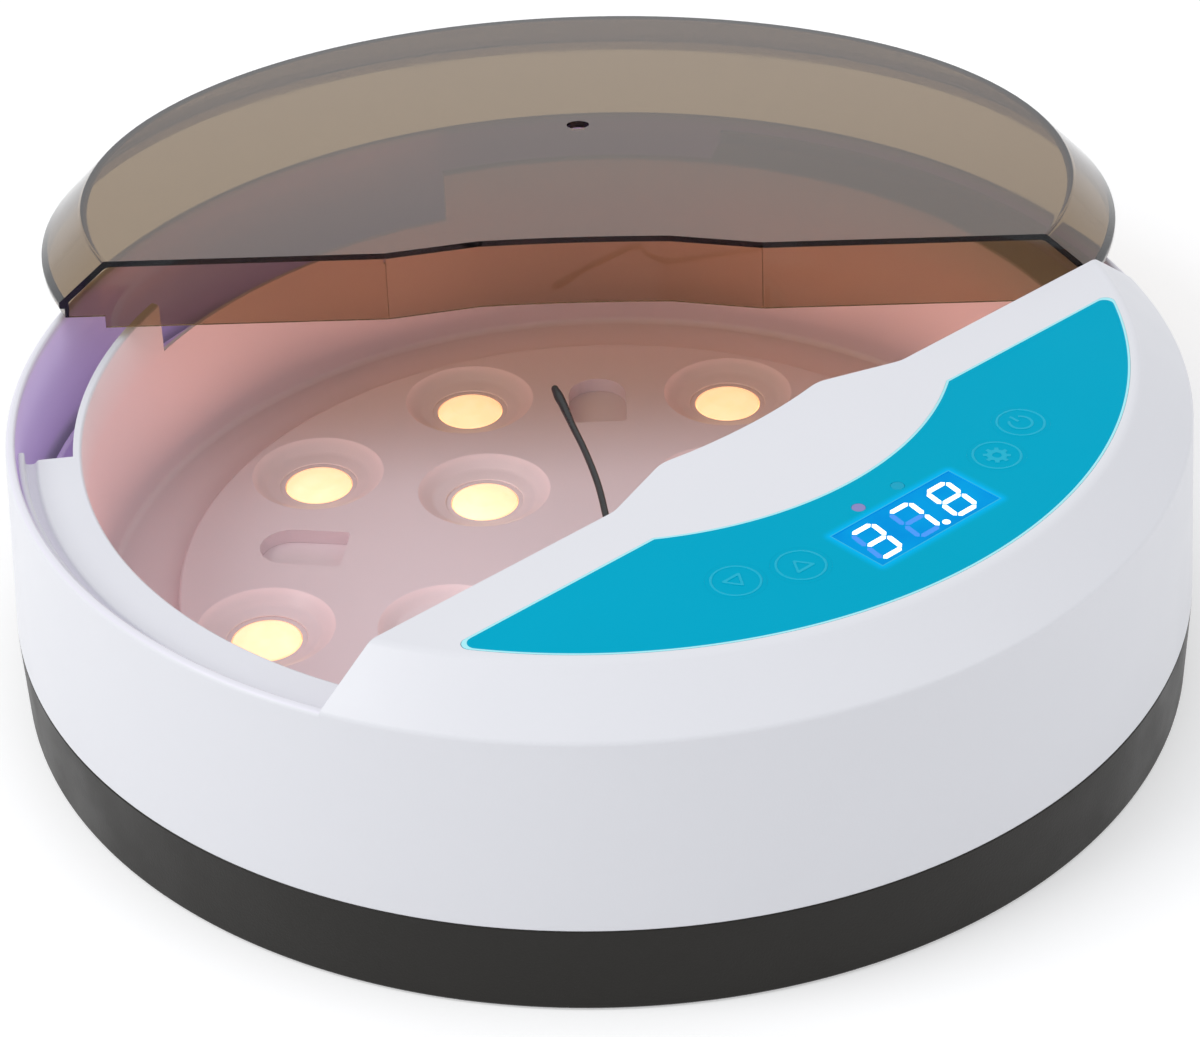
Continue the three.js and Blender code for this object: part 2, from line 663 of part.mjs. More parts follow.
function keyCap() {
  const stemZ = switchTopZ() + keyTravel + gap / 2;
  return rod(keyR, bridgeZ - filmT, bridgeZ, 0, 0).add(rod(keyStemR, stemZ, bridgeZ - filmT / 2, 0, 0, 16));
}

function switchTopZ() {
  return controlTopZ() + switchH;
}

function tactSwitch() {
  const half = switchW / 2;
  const bodyZ = switchTopZ() - switchH / 3;
  return block(-half, half, -half, half, controlTopZ(), bodyZ)
    .add(rod(keyStemR - gap, bodyZ - gap, switchTopZ(), 0, 0, 16));
}

// Control board behind the keypad, cut to the bridge's curve.
function controlBoard() {
  const topZ = controlTopZ();
  const disc = rod(controlR, topZ - controlT, topZ, 0, 0, 48);
  const strip = block(-controlX, controlX, -controlR, controlInnerY, topZ - controlT - cut, topZ + cut);
  return disc.intersect(strip);
}

function displayModule() {
  return block(-displayW / 2 - moduleRim, displayW / 2 + moduleRim, displayY - displayD / 2 - moduleRim,
    displayY + displayD / 2 + moduleRim, controlTopZ(), controlTopZ() + moduleH - bridgeWall)
    .add(block(-displayW / 2, displayW / 2, displayY - displayD / 2, displayY + displayD / 2,
      controlTopZ(), controlTopZ() + moduleH));
}

function displayWindow() {
  return block(-displayW / 2, displayW / 2, displayY - displayD / 2, displayY + displayD / 2,
    bridgeZ - windowT, bridgeZ);
}

function indicatorLight() {
  return rod(indicatorR, controlTopZ(), bridgeZ - filmT / 2, 0, 0, 16);
}

// Square fan frame with its struts; it stands against the chamber's front wall.
function fanFrame() {
  const half = fanW / 2;
  const frame = block(-half, half, -half, half, 0, fanT).subtract(rod(fanR, -cut, fanT + cut));
  const struts = strutDegs.map((deg) => (
    block(0, fanR + strutW / 2, -strutW / 2, strutW / 2, 0, fanPlate).rotate([0, 0, deg])
  ));
  return joined([frame, rod(hubR, 0, fanPlate), ...struts]);
}

function fanMotor() {
  const can = rod(motorR, fanPlate, fanPlate + motorH);
  return can.add(rod(fanShaftR, fanPlate + motorH - gap, fanPlate + motorH + shaftH));
}

function fanImpeller() {
  const lowZ = fanPlate + gap * 2;
  const cup = rod(hubR, lowZ, lowZ + hubH).subtract(rod(hubR - hubWall, lowZ - cut, lowZ + hubH - hubWall));
  const midZ = lowZ + bladeH / 2 + hubWall / 2;
  const blades = [];
  for (let i = 0; i < bladeCount; i += 1) {
    const blade = block(hubR - hubWall / 2, bladeR, -bladeT / 2, bladeT / 2, -bladeH / 2, bladeH / 2)
      .rotate([bladePitchDeg, 0, 0]).translate([0, 0, midZ]);
    blades.push(blade.rotate([0, 0, (360 / bladeCount) * i]));
  }
  const reach = ring(hubR - hubWall, bladeR, lowZ, lowZ + hubH, 36);
  const wheel = joined([cup, joined(blades).intersect(reach)]);
  return wheel.subtract(rod(fanBoreR, lowZ - cut, lowZ + hubH + cut));
}

function fanGrille() {
  const disc = rod(grilleR, 0, grilleT);
  const open = rod(grilleR - grilleRing, -cut, grilleT + cut);
  const pitch = grilleSlot + grilleBar;
  const count = Math.floor((grilleR - grilleRing) / pitch);
  const slots = [];
  for (let i = -count; i <= count; i += 1) {
    const x = i * pitch;
    slots.push(block(x - grilleSlot / 2, x + grilleSlot / 2, -grilleR, grilleR, -cut, grilleT + cut));
  }
  const spine = block(-grilleR, grilleR, -grilleBar / 2, grilleBar / 2, -cut, grilleT + cut);
  return disc.subtract(joined(slots).intersect(open).subtract(spine));
}

// Finned heater block, held between the two arms of a sheet bracket.
function heaterElement() {
  const core = block(-heaterW / 2, heaterW / 2, -heaterD / 2, heaterD / 2, -heaterCore / 2, heaterCore / 2);
  const fins = [];
  for (let i = 0; i < finCount; i += 1) {
    const x = -heaterW / 2 + finT / 2 + ((heaterW - finT) * i) / (finCount - 1);
    fins.push(block(x - finT / 2, x + finT / 2, -heaterD / 2, heaterD / 2, -heaterH / 2, heaterH / 2));
  }
  return shifted(joined([core, ...fins]), 0, heaterY, heaterMidZ);
}

function heaterBracket() {
  const frontY = heaterY - heaterD / 2;
  const backY = heaterY + heaterD / 2;
  const inside = heaterW / 2 + gap;
  const outside = inside + bracketT;
  const topZ = heaterMidZ + heaterH / 2;
  const arm = [-1, 1].map((side) => {
    const x = side > 0 ? [inside, outside] : [-outside, -inside];
    return block(x[0], x[1], frontY, backY, chamberFloorZ, topZ);
  });
  const reach = outside + bracketFoot;
  const foot = block(-reach, reach, frontY, backY, chamberFloorZ, chamberFloorZ + bracketT);
  return joined([foot, ...arm]);
}

function powerBoard() {
  const lowZ = chamberFloorZ + powerRise;
  const sheet = block(powerX - powerW / 2, powerX + powerW / 2, powerY - powerD / 2, powerY + powerD / 2,
    lowZ, lowZ + powerT);
  const legs = [-1, 1].flatMap((sideX) => [-1, 1].map((sideY) => (
    rod(postR, chamberFloorZ, lowZ + powerT / 2, powerX + sideX * (powerW / 2 - postR),
      powerY + sideY * (powerD / 2 - postR), 12)
  )));
  const can = rod(capR, lowZ, lowZ + powerT + capH, powerX + powerW / 2 - capR - coilEdge, powerY, 16);
  return joined([sheet, ...legs, can]);
}

function transformer() {
  const lowZ = chamberFloorZ + powerRise + powerT;
  const x = powerX - powerW / 2 + coilW / 2 + coilEdge;
  const topZ = lowZ + coilH;
  const core = block(x - coilW / 2, x + coilW / 2, powerY - coilD / 4, powerY + coilD / 4, lowZ, topZ);
  const winding = block(x - coilW / 4, x + coilW / 4, powerY - coilD / 2, powerY + coilD / 2,
    lowZ, topZ - coilEdge);
  return core.add(winding);
}

// Two-pin mains inlet in the back of the base.
function powerInlet() {
  const backY = inletFaceY - inletD;
  const body = block(-inletW / 2, inletW / 2, backY, inletFaceY, inletZ - inletH / 2, inletZ + inletH / 2);
  const shape = new THREE.Shape();
  const half = (socketW - socketH) / 2;
  shape.absarc(half, 0, socketH / 2, -Math.PI / 2, Math.PI / 2, false);
  shape.absarc(-half, 0, socketH / 2, Math.PI / 2, (3 * Math.PI) / 2, false);
  const mouth = plate(shape, 0, socketD + cut, 8).rotate([-90, 0, 0])
    .translate([0, inletFaceY - socketD, inletZ]);
  return body.subtract(mouth);
}

function inletPin(x) {
  return lying(rod(pinR, 0, pinL, 0, 0, 12), x, inletFaceY - socketD, inletZ);
}

function caseScrew() {
  const headTop = screwHeadZ + screwHeadH;
  const slot = block(-screwHeadR, screwHeadR, -gap, gap, screwHeadZ - cut, screwHeadZ + screwHeadH / 3);
  const shank = rod(screwR, headTop - gap, screwTopZ, 0, 0, 12);
  return rod(screwHeadR, screwHeadZ, headTop).add(shank).subtract(slot);
}

// Temperature probe: a stiff sleeved lead with the sensor bead on its end.
function probeStem() {
  const route = new THREE.CatmullRomCurve3(probePath.map((point) => new THREE.Vector3(...point)));
  const section = new THREE.Shape();
  section.absarc(0, 0, probeR, 0, 2 * Math.PI, false);
  const settings = { steps: 28, bevelEnabled: false, extrudePath: route, curveSegments: 4 };
  return solid(new THREE.ExtrudeGeometry(section, settings));
}

function probeBead() {
  const start = new THREE.Vector3(...probePath[probePath.length - 1]);
  const end = new THREE.Vector3(...beadEnd);
  const along = end.clone().sub(start).normalize();
  const bead = new THREE.LatheGeometry([
    [0, gap], [probeR, gap], [beadR, beadL * 0.35], [beadR, beadL * 0.75],
    [beadR * 0.7, beadL * 0.95], [0, beadL],
  ].map(([r, z]) => new THREE.Vector2(r, z)), 16);
  bead.applyQuaternion(new THREE.Quaternion().setFromUnitVectors(new THREE.Vector3(0, 1, 0), along));
  bead.translate(start.x, start.y, start.z);
  return solid(bead);
}

function probeGrommet() {
  const flange = ring(probeR + gap, grommetFlangeR, 0, grommetFlangeT, 16);
  const sleeve = ring(probeR + gap, grommetR, -partitionWall, gap, 16);
  return atProbeHole(flange.add(sleeve));
}

// Lays a piece where the probe's lead comes through the wall in front of the eggs.
function atProbeHole(body) {
  const [x, , z] = probePath[0];
  return lying(body, x, partitionY, z);
}

place("base_pan", basePan(), "dark");
place("outer_shell", outerShell(), "white");
place("inner_liner", liner(), "liner");
troughNames.forEach((side, number) => place(`water_trough_${side}`, waterTrough(number), "liner"));
place("egg_tray", eggTray(), "liner");
place("candling_board", candlingBoard(), "board");
seatPlaces.forEach(([x, y], i) => {
  place("candling_lens_" + (i + 1), shifted(candlingLens(), x, y), "lens");
});
place("keypad_film", keypadFilm(), "teal");
place("display_window", displayWindow(), "blue");
place("display_module", displayModule(), "black");
place("control_board", controlBoard(), "board");
Object.entries(keyDegs).forEach(([name, deg]) => {
  const [x, y] = polar(keyPlaceR, deg);
  place(name, shifted(keyCap(), x, y), "teal");
  place(name.replace("key", "switch"), shifted(tactSwitch(), x, y), "black");
});
place("indicator_left", shifted(indicatorLight(), -indicatorX, indicatorY), "indicator");
place("indicator_right", shifted(indicatorLight(), indicatorX, indicatorY), "indicator");

// The fan's own axis is upright in its group, which is then laid along +Y behind the front wall.
const fan = new THREE.Group();
fan.rotation.x = -Math.PI / 2;
fan.position.set(0, partitionY - partitionWall - fanT - gap, fanMidZ);
place("fan_frame", fanFrame(), "black", fan);
place("fan_motor", fanMotor(), "steel", fan);
place("fan_impeller", fanImpeller(), "black", fan);
incubator.add(fan);
const grille = place("fan_grille", fanGrille(), "white");
grille.rotation.x = -Math.PI / 2;
grille.position.set(0, partitionY, fanMidZ);

place("heater_element", heaterElement(), "steel");
place("heater_bracket", heaterBracket(), "steel");
place("power_board", powerBoard(), "board");
place("transformer", transformer(), "black");
place("power_inlet", powerInlet(), "black");
place("inlet_pin_left", inletPin(-pinX), "brass");
place("inlet_pin_right", inletPin(pinX), "brass");
screwPlaces.forEach(([x, y], i) => place("case_screw_" + (i + 1), shifted(caseScrew(), x, y), "steel"));
padPlaces.forEach(([x, y], i) => place("rubber_pad_" + (i + 1), rod(padR, 0, padH, x, y), "rubber"));
place("probe_stem", probeStem(), "black");
place("probe_bead", probeBead(), "black");
place("probe_grommet", probeGrommet(), "rubber");

const lid = new THREE.Group();
lid.position.set(lidPlaceShares[0] * rimR, lidPlaceShares[1] * rimR, rimZ + lidTopRise);
lid.rotation.set(Math.asin((lidLeanShare * bridgeRise) / rimR), rad(lidRollDeg), rad(lidTurnDeg), "ZYX");
place("lid_shell", lidShell(), "smoke", lid);
incubator.add(lid);

export default incubator;
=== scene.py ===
import math

import bmesh
import bpy
from mathutils import Matrix, Vector


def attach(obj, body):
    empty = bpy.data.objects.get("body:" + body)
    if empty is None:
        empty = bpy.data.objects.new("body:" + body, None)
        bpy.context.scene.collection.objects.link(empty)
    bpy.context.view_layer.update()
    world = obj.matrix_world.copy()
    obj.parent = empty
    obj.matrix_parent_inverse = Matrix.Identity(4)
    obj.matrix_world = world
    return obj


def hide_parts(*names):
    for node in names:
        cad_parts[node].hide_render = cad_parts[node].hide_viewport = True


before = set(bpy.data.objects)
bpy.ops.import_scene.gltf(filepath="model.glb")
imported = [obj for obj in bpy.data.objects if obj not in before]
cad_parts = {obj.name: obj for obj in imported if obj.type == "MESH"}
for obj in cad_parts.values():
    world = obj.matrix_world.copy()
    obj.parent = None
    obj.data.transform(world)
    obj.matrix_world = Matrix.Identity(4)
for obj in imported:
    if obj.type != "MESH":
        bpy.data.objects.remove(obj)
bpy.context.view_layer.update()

# ---------------------------------------------------------------- Camera
# Stands in front of the drum and to its left, looking down on it. Its place and lens were fitted
# to the round rim, the base, the keypad and the lid.
camera = bpy.data.objects.new("camera", bpy.data.cameras.new("camera"))
bpy.context.scene.collection.objects.link(camera)
bpy.context.scene.camera = camera
camera.data.sensor_width = 36
camera.data.lens = 101.2016
camera.data.clip_start = 0.01
look = Vector((0.547, 0.626, -0.55579)).normalized()
across = Vector((0.74092, -0.67107, -0.02664)).normalized()
above = across.cross(look).normalized()
camera.matrix_world = Matrix.Translation((-0.41888, -0.47865, 0.45456)) @ Matrix(
    (look.cross(above), above, -look)
).transposed().to_4x4()

# ---------------------------------------------------------------- Floor
# A plain pale studio floor. The camera, gloss and clear plastic see it a little brighter than its
# light makes it, so that it runs into the white backdrop, and it keeps the drum's soft shadow.
floor_mesh = bpy.data.meshes.new("studio_floor")
floor_mesh.from_pydata([(-6, -6, 0), (6, -6, 0), (6, 6, 0), (-6, 6, 0)], [], [(0, 1, 2, 3)])
studio_floor = bpy.data.objects.new("studio_floor", floor_mesh)
bpy.context.scene.collection.objects.link(studio_floor)


def by_ray(tree, hidden, seen, target):
    """Sets a socket to one value for rays that light things and another for rays that see them."""
    ray = tree.nodes.new("ShaderNodeLightPath")
    sees = ray.outputs["Is Camera Ray"]
    for kind in ("Is Glossy Ray", "Is Transmission Ray"):
        either = tree.nodes.new("ShaderNodeMath")
        either.operation = "MAXIMUM"
        tree.links.new(sees, either.inputs[0])
        tree.links.new(ray.outputs[kind], either.inputs[1])
        sees = either.outputs[0]
    level = tree.nodes.new("ShaderNodeMapRange")
    level.inputs["To Min"].default_value = hidden
    level.inputs["To Max"].default_value = seen
    tree.links.new(sees, level.inputs["Value"])
    tree.links.new(level.outputs[0], target)


paper = bpy.data.materials.new("studio_paper")
paper.use_nodes = True
matt = paper.node_tree.nodes["Principled BSDF"]
matt.inputs["Base Color"].default_value = (0.8, 0.8, 0.8, 1)
matt.inputs["Roughness"].default_value = 0.9
matt.inputs["Specular IOR Level"].default_value = 0.1
matt.inputs["Emission Color"].default_value = (1, 1, 1, 1)
by_ray(paper.node_tree, 0, 0.34, matt.inputs["Emission Strength"])
floor_mesh.materials.append(paper)

# ---------------------------------------------------------------- Light
# One broad soft lamp high on the left, a weak one in front and an even pale room, which looks
# brighter than it lights.
world = bpy.data.worlds.new("studio")
bpy.context.scene.world = world
world.use_nodes = True
room = world.node_tree.nodes["Background"]
room.inputs["Color"].default_value = (0.97, 0.98, 1, 1)
by_ray(world.node_tree, 0.75, 1, room.inputs["Strength"])


def softbox(name, place, aim, size, watts):
    """A square area lamp, in metres."""
    lamp = bpy.data.lights.new(name, "AREA")
    lamp.size = size
    lamp.energy = watts
    holder = bpy.data.objects.new(name, lamp)
    bpy.context.scene.collection.objects.link(holder)
    holder.location = place
    holder.rotation_euler = (Vector(aim) - Vector(place)).to_track_quat("-Z", "Y").to_euler()


softbox("key_softbox", (-1.4, 0.55, 1.4), (0, 0, 0.05), 1.1, 15)
softbox("front_softbox", (0.9, -1.7, 0.9), (0, 0, 0.05), 1.0, 4)

bpy.context.scene.view_settings.view_transform = "Standard"

# ---------------------------------------------------------------- Base pan
# Dark lower half of the case, moulded in fine-grained polypropylene: a shallow pan with a spigot
# that plugs into the drum, four screw bosses and four round seats for the rubber pads.
MM = 0.001
AROUND = 288  # facets round the drum


def made(name, bm):
    """A piece's object from its bmesh, with faces pointing outwards."""
    bmesh.ops.remove_doubles(bm, verts=bm.verts, dist=1e-7)
    bmesh.ops.recalc_face_normals(bm, faces=bm.faces)
    mesh = bpy.data.meshes.new(name)
    bm.to_mesh(mesh)
    bm.free()
    piece = bpy.data.objects.new(name, mesh)
    bpy.context.scene.collection.objects.link(piece)
    return piece


def rounded(outline, steps=4):
    """An outline's corners as vectors. A corner's third number is the radius of its round."""
    points = []
    for i, corner in enumerate(outline):
        here = Vector(corner[:2])
        if len(corner) == 2:
            points.append(here)
            continue
        before = (Vector(outline[i - 1][:2]) - here).normalized()
        after = (Vector(outline[(i + 1) % len(outline)][:2]) - here).normalized()
        half = before.angle(after) / 2
        centre = here + (before + after).normalized() * corner[2] / math.sin(half)
        reach = corner[2] / math.tan(half)
        first, last = here + before * reach - centre, here + after * reach - centre
        for k in range(steps + 1):
            way = first.lerp(last, k / steps).normalized()
            points.append(centre + way * corner[2])
    return points


def turned(name, outline, around=AROUND, at=(0, 0)):
    """A closed outline of (radius, height) in mm, turned about an upright axis."""
    points = rounded(outline)
    bm = bmesh.new()
    rows = []
    for i in range(around):
        c, s = math.cos(2 * math.pi * i / around), math.sin(2 * math.pi * i / around)
        rows.append([bm.verts.new(((at[0] + p.x * c) * MM, (at[1] + p.x * s) * MM, p.y * MM))
                     for p in points])
    for j, low in enumerate(points):
        k = (j + 1) % len(points)
        high = points[k]
        if low.x == 0 and high.x == 0:
            continue
        if low.y == high.y and 0 in (low.x, high.x):
            rim = j if high.x == 0 else k
            bm.faces.new([row[rim] for row in rows])
            continue
        for i, row in enumerate(rows):
            after = rows[(i + 1) % around]
            bm.faces.new((row[j], row[k], after[k], after[j]))
    loose = [v for v in bm.verts if not v.link_faces]
    bmesh.ops.delete(bm, geom=loose, context="VERTS")
    return made(name, bm)


def prism(name, plan, low, high):
    """A plan in mm, from one height to another."""
    bm = bmesh.new()
    foot = bm.faces.new([bm.verts.new((p.x * MM, p.y * MM, low * MM)) for p in rounded(plan)])
    raised = bmesh.ops.extrude_face_region(bm, geom=[foot])["geom"]
    for v in raised:
        if isinstance(v, bmesh.types.BMVert):
            v.co.z = high * MM
    return made(name, bm)


def rod(radius, low, high, x=0, y=0, count=48):
    """An upright round bar, in mm."""
    turns = [2 * math.pi * i / count for i in range(count)]
    plan = [(x + radius * math.cos(a), y + radius * math.sin(a)) for a in turns]
    return prism("tool", plan, low, high)


def block(low, high):
    """A box between two corners, in mm."""
    plan = [(low[0], low[1]), (high[0], low[1]), (high[0], high[1]), (low[0], high[1])]
    return prism("tool", plan, low[2], high[2])


def applied(piece):
    """Makes a plain mesh of what a piece's modifiers give."""
    graph = bpy.context.evaluated_depsgraph_get()
    mesh = bpy.data.meshes.new_from_object(piece.evaluated_get(graph))
    piece.modifiers.clear()
    piece.data = mesh
    return piece


def laid(piece, x, y, z):
    """Tips an upright shape over backwards, to point along +Y, and puts its foot at a place in mm."""
    tip = Matrix.Rotation(math.radians(-90), 4, "X")
    piece.data.transform(Matrix.Translation(Vector((x, y, z)) * MM) @ tip)
    return piece


def shaped(body, tools, how="DIFFERENCE"):
    """Cuts the tools out of a body, joins them to it, or keeps what they share with it."""
    for tool in tools:
        step = body.modifiers.new("shape", "BOOLEAN")
        step.operation = how
        step.solver = "MANIFOLD"
        step.object = tool
    applied(body)
    for tool in tools:
        bpy.data.objects.remove(tool)
    return body


def eased(body, chosen, width, segments=3):
    """Rounds the edges that chosen picks by their two ends, in mm."""
    bm = bmesh.new()
    bm.from_mesh(body.data)
    bmesh.ops.dissolve_limit(bm, angle_limit=math.radians(0.2), verts=bm.verts, edges=bm.edges)
    edges = [e for e in bm.edges if e.calc_face_angle(0) > math.radians(25)
             and chosen(e.verts[0].co / MM, e.verts[1].co / MM)]
    bmesh.ops.bevel(bm, geom=edges, offset=width * MM, segments=segments, profile=0.5,
                    affect="EDGES", clamp_overlap=True)
    bm.to_mesh(body.data)
    bm.free()
    return body


def settled(piece, material, body, slot, *replaced, sharp=32):
    """The last step of each new piece: shading, finish, and its place among the CAD bodies."""
    mesh = piece.data
    mesh.materials.clear()
    for one in material if isinstance(material, list) else [material]:
        mesh.materials.append(one)
    mesh.shade_smooth()
    mesh.set_sharp_from_angle(angle=math.radians(sharp))
    weigh = piece.modifiers.new("even_shading", "WEIGHTED_NORMAL")
    weigh.keep_sharp = True
    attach(piece, body)
    if replaced:
        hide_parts(*replaced)
    return piece


def polar(radius, degrees):
    return radius * math.cos(math.radians(degrees)), radius * math.sin(math.radians(degrees))


def new_material(name):
    material = bpy.data.materials.new(name)
    material.use_nodes = True
    return material, material.node_tree.nodes["Principled BSDF"]


def noise(tree, scale, detail=2):
    """A noise over the piece's own coordinates."""
    place, pattern = tree.nodes.new("ShaderNodeTexCoord"), tree.nodes.new("ShaderNodeTexNoise")
    pattern.inputs["Scale"].default_value = scale
    pattern.inputs["Detail"].default_value = detail
    tree.links.new(place.outputs["Object"], pattern.inputs["Vector"])
    return pattern.outputs["Fac"]


def between(tree, share, low, high):
    """A colour between two, by a share. Either one is a colour or a socket."""
    mix = tree.nodes.new("ShaderNodeMix")
    mix.data_type = "RGBA"
    tree.links.new(share, mix.inputs["Factor"])
    for colour, socket in ((low, mix.inputs[6]), (high, mix.inputs[7])):
        if isinstance(colour, bpy.types.NodeSocket):
            tree.links.new(colour, socket)
        else:
            socket.default_value = (*colour, 1)
    return mix.outputs[2]


def ranged(tree, value, start, stop, low=0.0, high=1.0):
    """A value from start to stop, mapped to low to high and held there."""
    band = tree.nodes.new("ShaderNodeMapRange")
    for word, number in (("From Min", start), ("From Max", stop), ("To Min", low), ("To Max", high)):
        band.inputs[word].default_value = number
    tree.links.new(value, band.inputs["Value"])
    return band.outputs[0]


def moulded(name, colour, rough=0.4, grain=0.35, relief=0.1, mottle=0.02, specular=0.5):
    """Moulded plastic: faint cloudy patches, hand-rubbed gloss and a fine grain, in mm."""
    material, skin = new_material(name)
    tree = material.node_tree
    dark = [c * (1 - mottle) for c in colour]
    light = [min(1, c * (1 + mottle)) for c in colour]
    tree.links.new(between(tree, noise(tree, 24, 4), dark, light), skin.inputs["Base Color"])
    gloss = ranged(tree, noise(tree, 70, 5), 0.3, 0.7, rough - 0.05, rough + 0.06)
    tree.links.new(gloss, skin.inputs["Roughness"])
    skin.inputs["Specular IOR Level"].default_value = specular
    bump = tree.nodes.new("ShaderNodeBump")
    bump.inputs["Strength"].default_value = relief
    bump.inputs["Distance"].default_value = 0.0002
    tree.links.new(noise(tree, 1000 / grain), bump.inputs["Height"])
    tree.links.new(bump.outputs[0], skin.inputs["Normal"])
    return material


base_height = 20.8
foot_radius, belly_radius = 132.4, 132.8
pad_places = [polar(108, d) for d in (0, 90, 180, 270)]
screw_places = [polar(124.6, d) for d in (25, 155, 220, 320)]

base = turned("base_pan_shell", [
    (0, 0), (foot_radius - 0.8, 0, 0.5), (foot_radius, 0.8, 0.8), (belly_radius, base_height, 0.35),
    (130.4, base_height), (130.4, base_height + 4, 0.4), (128.4, base_height + 4, 0.4),
    (128.4, base_height - 2), (130.4, base_height - 4), (130, 2.8, 1), (0, 2.8),
])
shaped(base, [rod(5, 2.5, 13.5, x, y) for x, y in screw_places]
       + [rod(4, 2.5, 7.4, *polar(62, d)) for d in (45, 135, 225, 315)]
       + [rod(4, 2.5, 12.2, *polar(105, d)) for d in (45, 135, 225, 315)], "UNION")
shaped(base, [rod(5.3, 13.5, 27, x, y) for x, y in screw_places]
       + [rod(1.8, -2, 20, x, y) for x, y in screw_places]
       + [rod(3.4, -2, 3, x, y) for x, y in screw_places]
       + [rod(9.3, -2, 1.6, x, y) for x, y in pad_places]
       + [block((-9.8, 123, 5.3), (9.8, 135, 15.9))])
# A shallow moulded ring stiffens the underside.
shaped(base, [turned("tool", [(84, -1), (85.2, -1), (85.2, 0.35, 0.3), (84, 0.35, 0.3)])])
charcoal = moulded("charcoal_plastic", (0.02, 0.0185, 0.0165), rough=0.4, grain=0.5, relief=0.2,
                   mottle=0.1, specular=0.18)
settled(base, charcoal, "drum", "base_plastic", "base_pan")


# ---------------------------------------------------------------- Screws and rubber pads
# Four pan-head screws draw the base up to the drum, and four round rubber pads are pressed into
# the underside. Both are set out by the same rule, so both come from one tree.
def set_out(name, shape, places, material, turn=0.0):
    """Copies of one shape on places in mm, as one plain mesh."""
    tree = bpy.data.node_groups.new(name + "_set_out", "GeometryNodeTree")
    tree.interface.new_socket("Geometry", in_out="INPUT", socket_type="NodeSocketGeometry")
    ask = tree.interface.new_socket("Shape", in_out="INPUT", socket_type="NodeSocketObject")
    twist = tree.interface.new_socket("Turn between copies", in_out="INPUT", socket_type="NodeSocketFloat")
    tree.interface.new_socket("Geometry", in_out="OUTPUT", socket_type="NodeSocketGeometry")
    nodes, link = tree.nodes, tree.links.new
    start, end = nodes.new("NodeGroupInput"), nodes.new("NodeGroupOutput")
    shape_in = nodes.new("GeometryNodeObjectInfo")
    copies = nodes.new("GeometryNodeInstanceOnPoints")
    index = nodes.new("GeometryNodeInputIndex")
    times = nodes.new("ShaderNodeMath")
    times.operation = "MULTIPLY"
    upright = nodes.new("ShaderNodeCombineXYZ")
    real = nodes.new("GeometryNodeRealizeInstances")
    paint = nodes.new("GeometryNodeSetMaterial")
    paint.inputs["Material"].default_value = material
    link(start.outputs["Geometry"], copies.inputs["Points"])
    link(start.outputs["Shape"], shape_in.inputs["Object"])
    link(shape_in.outputs["Geometry"], copies.inputs["Instance"])
    link(index.outputs[0], times.inputs[0])
    link(start.outputs["Turn between copies"], times.inputs[1])
    link(times.outputs[0], upright.inputs["Z"])
    link(upright.outputs[0], copies.inputs["Rotation"])
    link(copies.outputs[0], real.inputs[0])
    link(real.outputs[0], paint.inputs["Geometry"])
    link(paint.outputs[0], end.inputs[0])
    points = bpy.data.meshes.new(name)
    points.from_pydata([[c * MM for c in (*place, 0)[:3]] for place in places], [], [])
    piece = bpy.data.objects.new(name, points)
    bpy.context.scene.collection.objects.link(piece)
    step = piece.modifiers.new("set_out", "NODES")
    step.node_group = tree
    step[ask.identifier] = shape
    step[twist.identifier] = turn
    applied(piece)
    bpy.data.objects.remove(shape)
    return piece


def metal(name, colour, rough=0.32):
    """Bare metal with a fine grain and a dulled skin."""
    material = moulded(name, colour, rough, grain=0.4, relief=0.06, mottle=0.08)
    material.node_tree.nodes["Principled BSDF"].inputs["Metallic"].default_value = 1
    return material


steel = metal("zinc_plated_steel", (0.47, 0.48, 0.5))
screw = turned("screw", [(0, 0.8), (2.2, 0.8, 0.3), (3.1, 1.9, 0.4), (3.1, 3.0), (1.5, 3.0), (1.3, 19.6),
                         (0, 20)], around=32)
shaped(screw, [block((-0.35, -2.1, -1), (0.35, 2.1, 1.9)), block((-2.1, -0.35, -1), (2.1, 0.35, 1.9))])
screws = set_out("case_screws", screw, screw_places, steel, turn=0.7)
settled(screws, steel, "drum", "steel", "case_screw_1", "case_screw_2", "case_screw_3", "case_screw_4")

rubber = moulded("grey_rubber", (0.02, 0.02, 0.021), rough=0.8, grain=0.7, relief=0.35, mottle=0.15)
pad = turned("pad", [(0, 0.12), (6.6, 0.12, 0.3), (7, 0, 0.3), (9, 0, 0.4), (9, 1.6), (0, 1.6)], around=64)
pads = set_out("rubber_pads", pad, pad_places, rubber)
settled(pads, rubber, "drum", "rubber", "rubber_pad_1", "rubber_pad_2", "rubber_pad_3", "rubber_pad_4")

# ---------------------------------------------------------------- Mains inlet
# A two-pin appliance inlet in black nylon, clipped into the back of the base, with two round
# nickel-plated brass contacts.
nylon = moulded("black_nylon", (0.012, 0.012, 0.013), rough=0.38, grain=0.4, relief=0.12, mottle=0.1)
inlet_face, socket_foot = 133.2, (0, 122.2, 10.6)
inlet = block((-9.5, 117.2, 5.6), (9.5, inlet_face, 15.6))
inlet.name = "mains_inlet"
eased(inlet, lambda a, b: min(a.y, b.y) > inlet_face - 0.01, 0.5)
socket_plan = []
for side in (1, -1):
    for turn in range(0, 181, 12):
        x, y = polar(3.3, turn - 90 * side)
        socket_plan.append((side * 3.95 + x, y))
shaped(inlet, [laid(prism("tool", socket_plan, 0, 14), *socket_foot)])
settled(inlet, nylon, "drum", "black_plastic", "power_inlet")
brass = metal("nickel_plated_brass", (0.62, 0.52, 0.3), rough=0.25)
contact = laid(turned("contact", [(0, 0), (1.2, 0), (1.2, 8, 0.7), (0, 8)], around=24), *socket_foot)
contacts = set_out("inlet_contacts", contact, [(-4.3, 0), (4.3, 0)], brass)
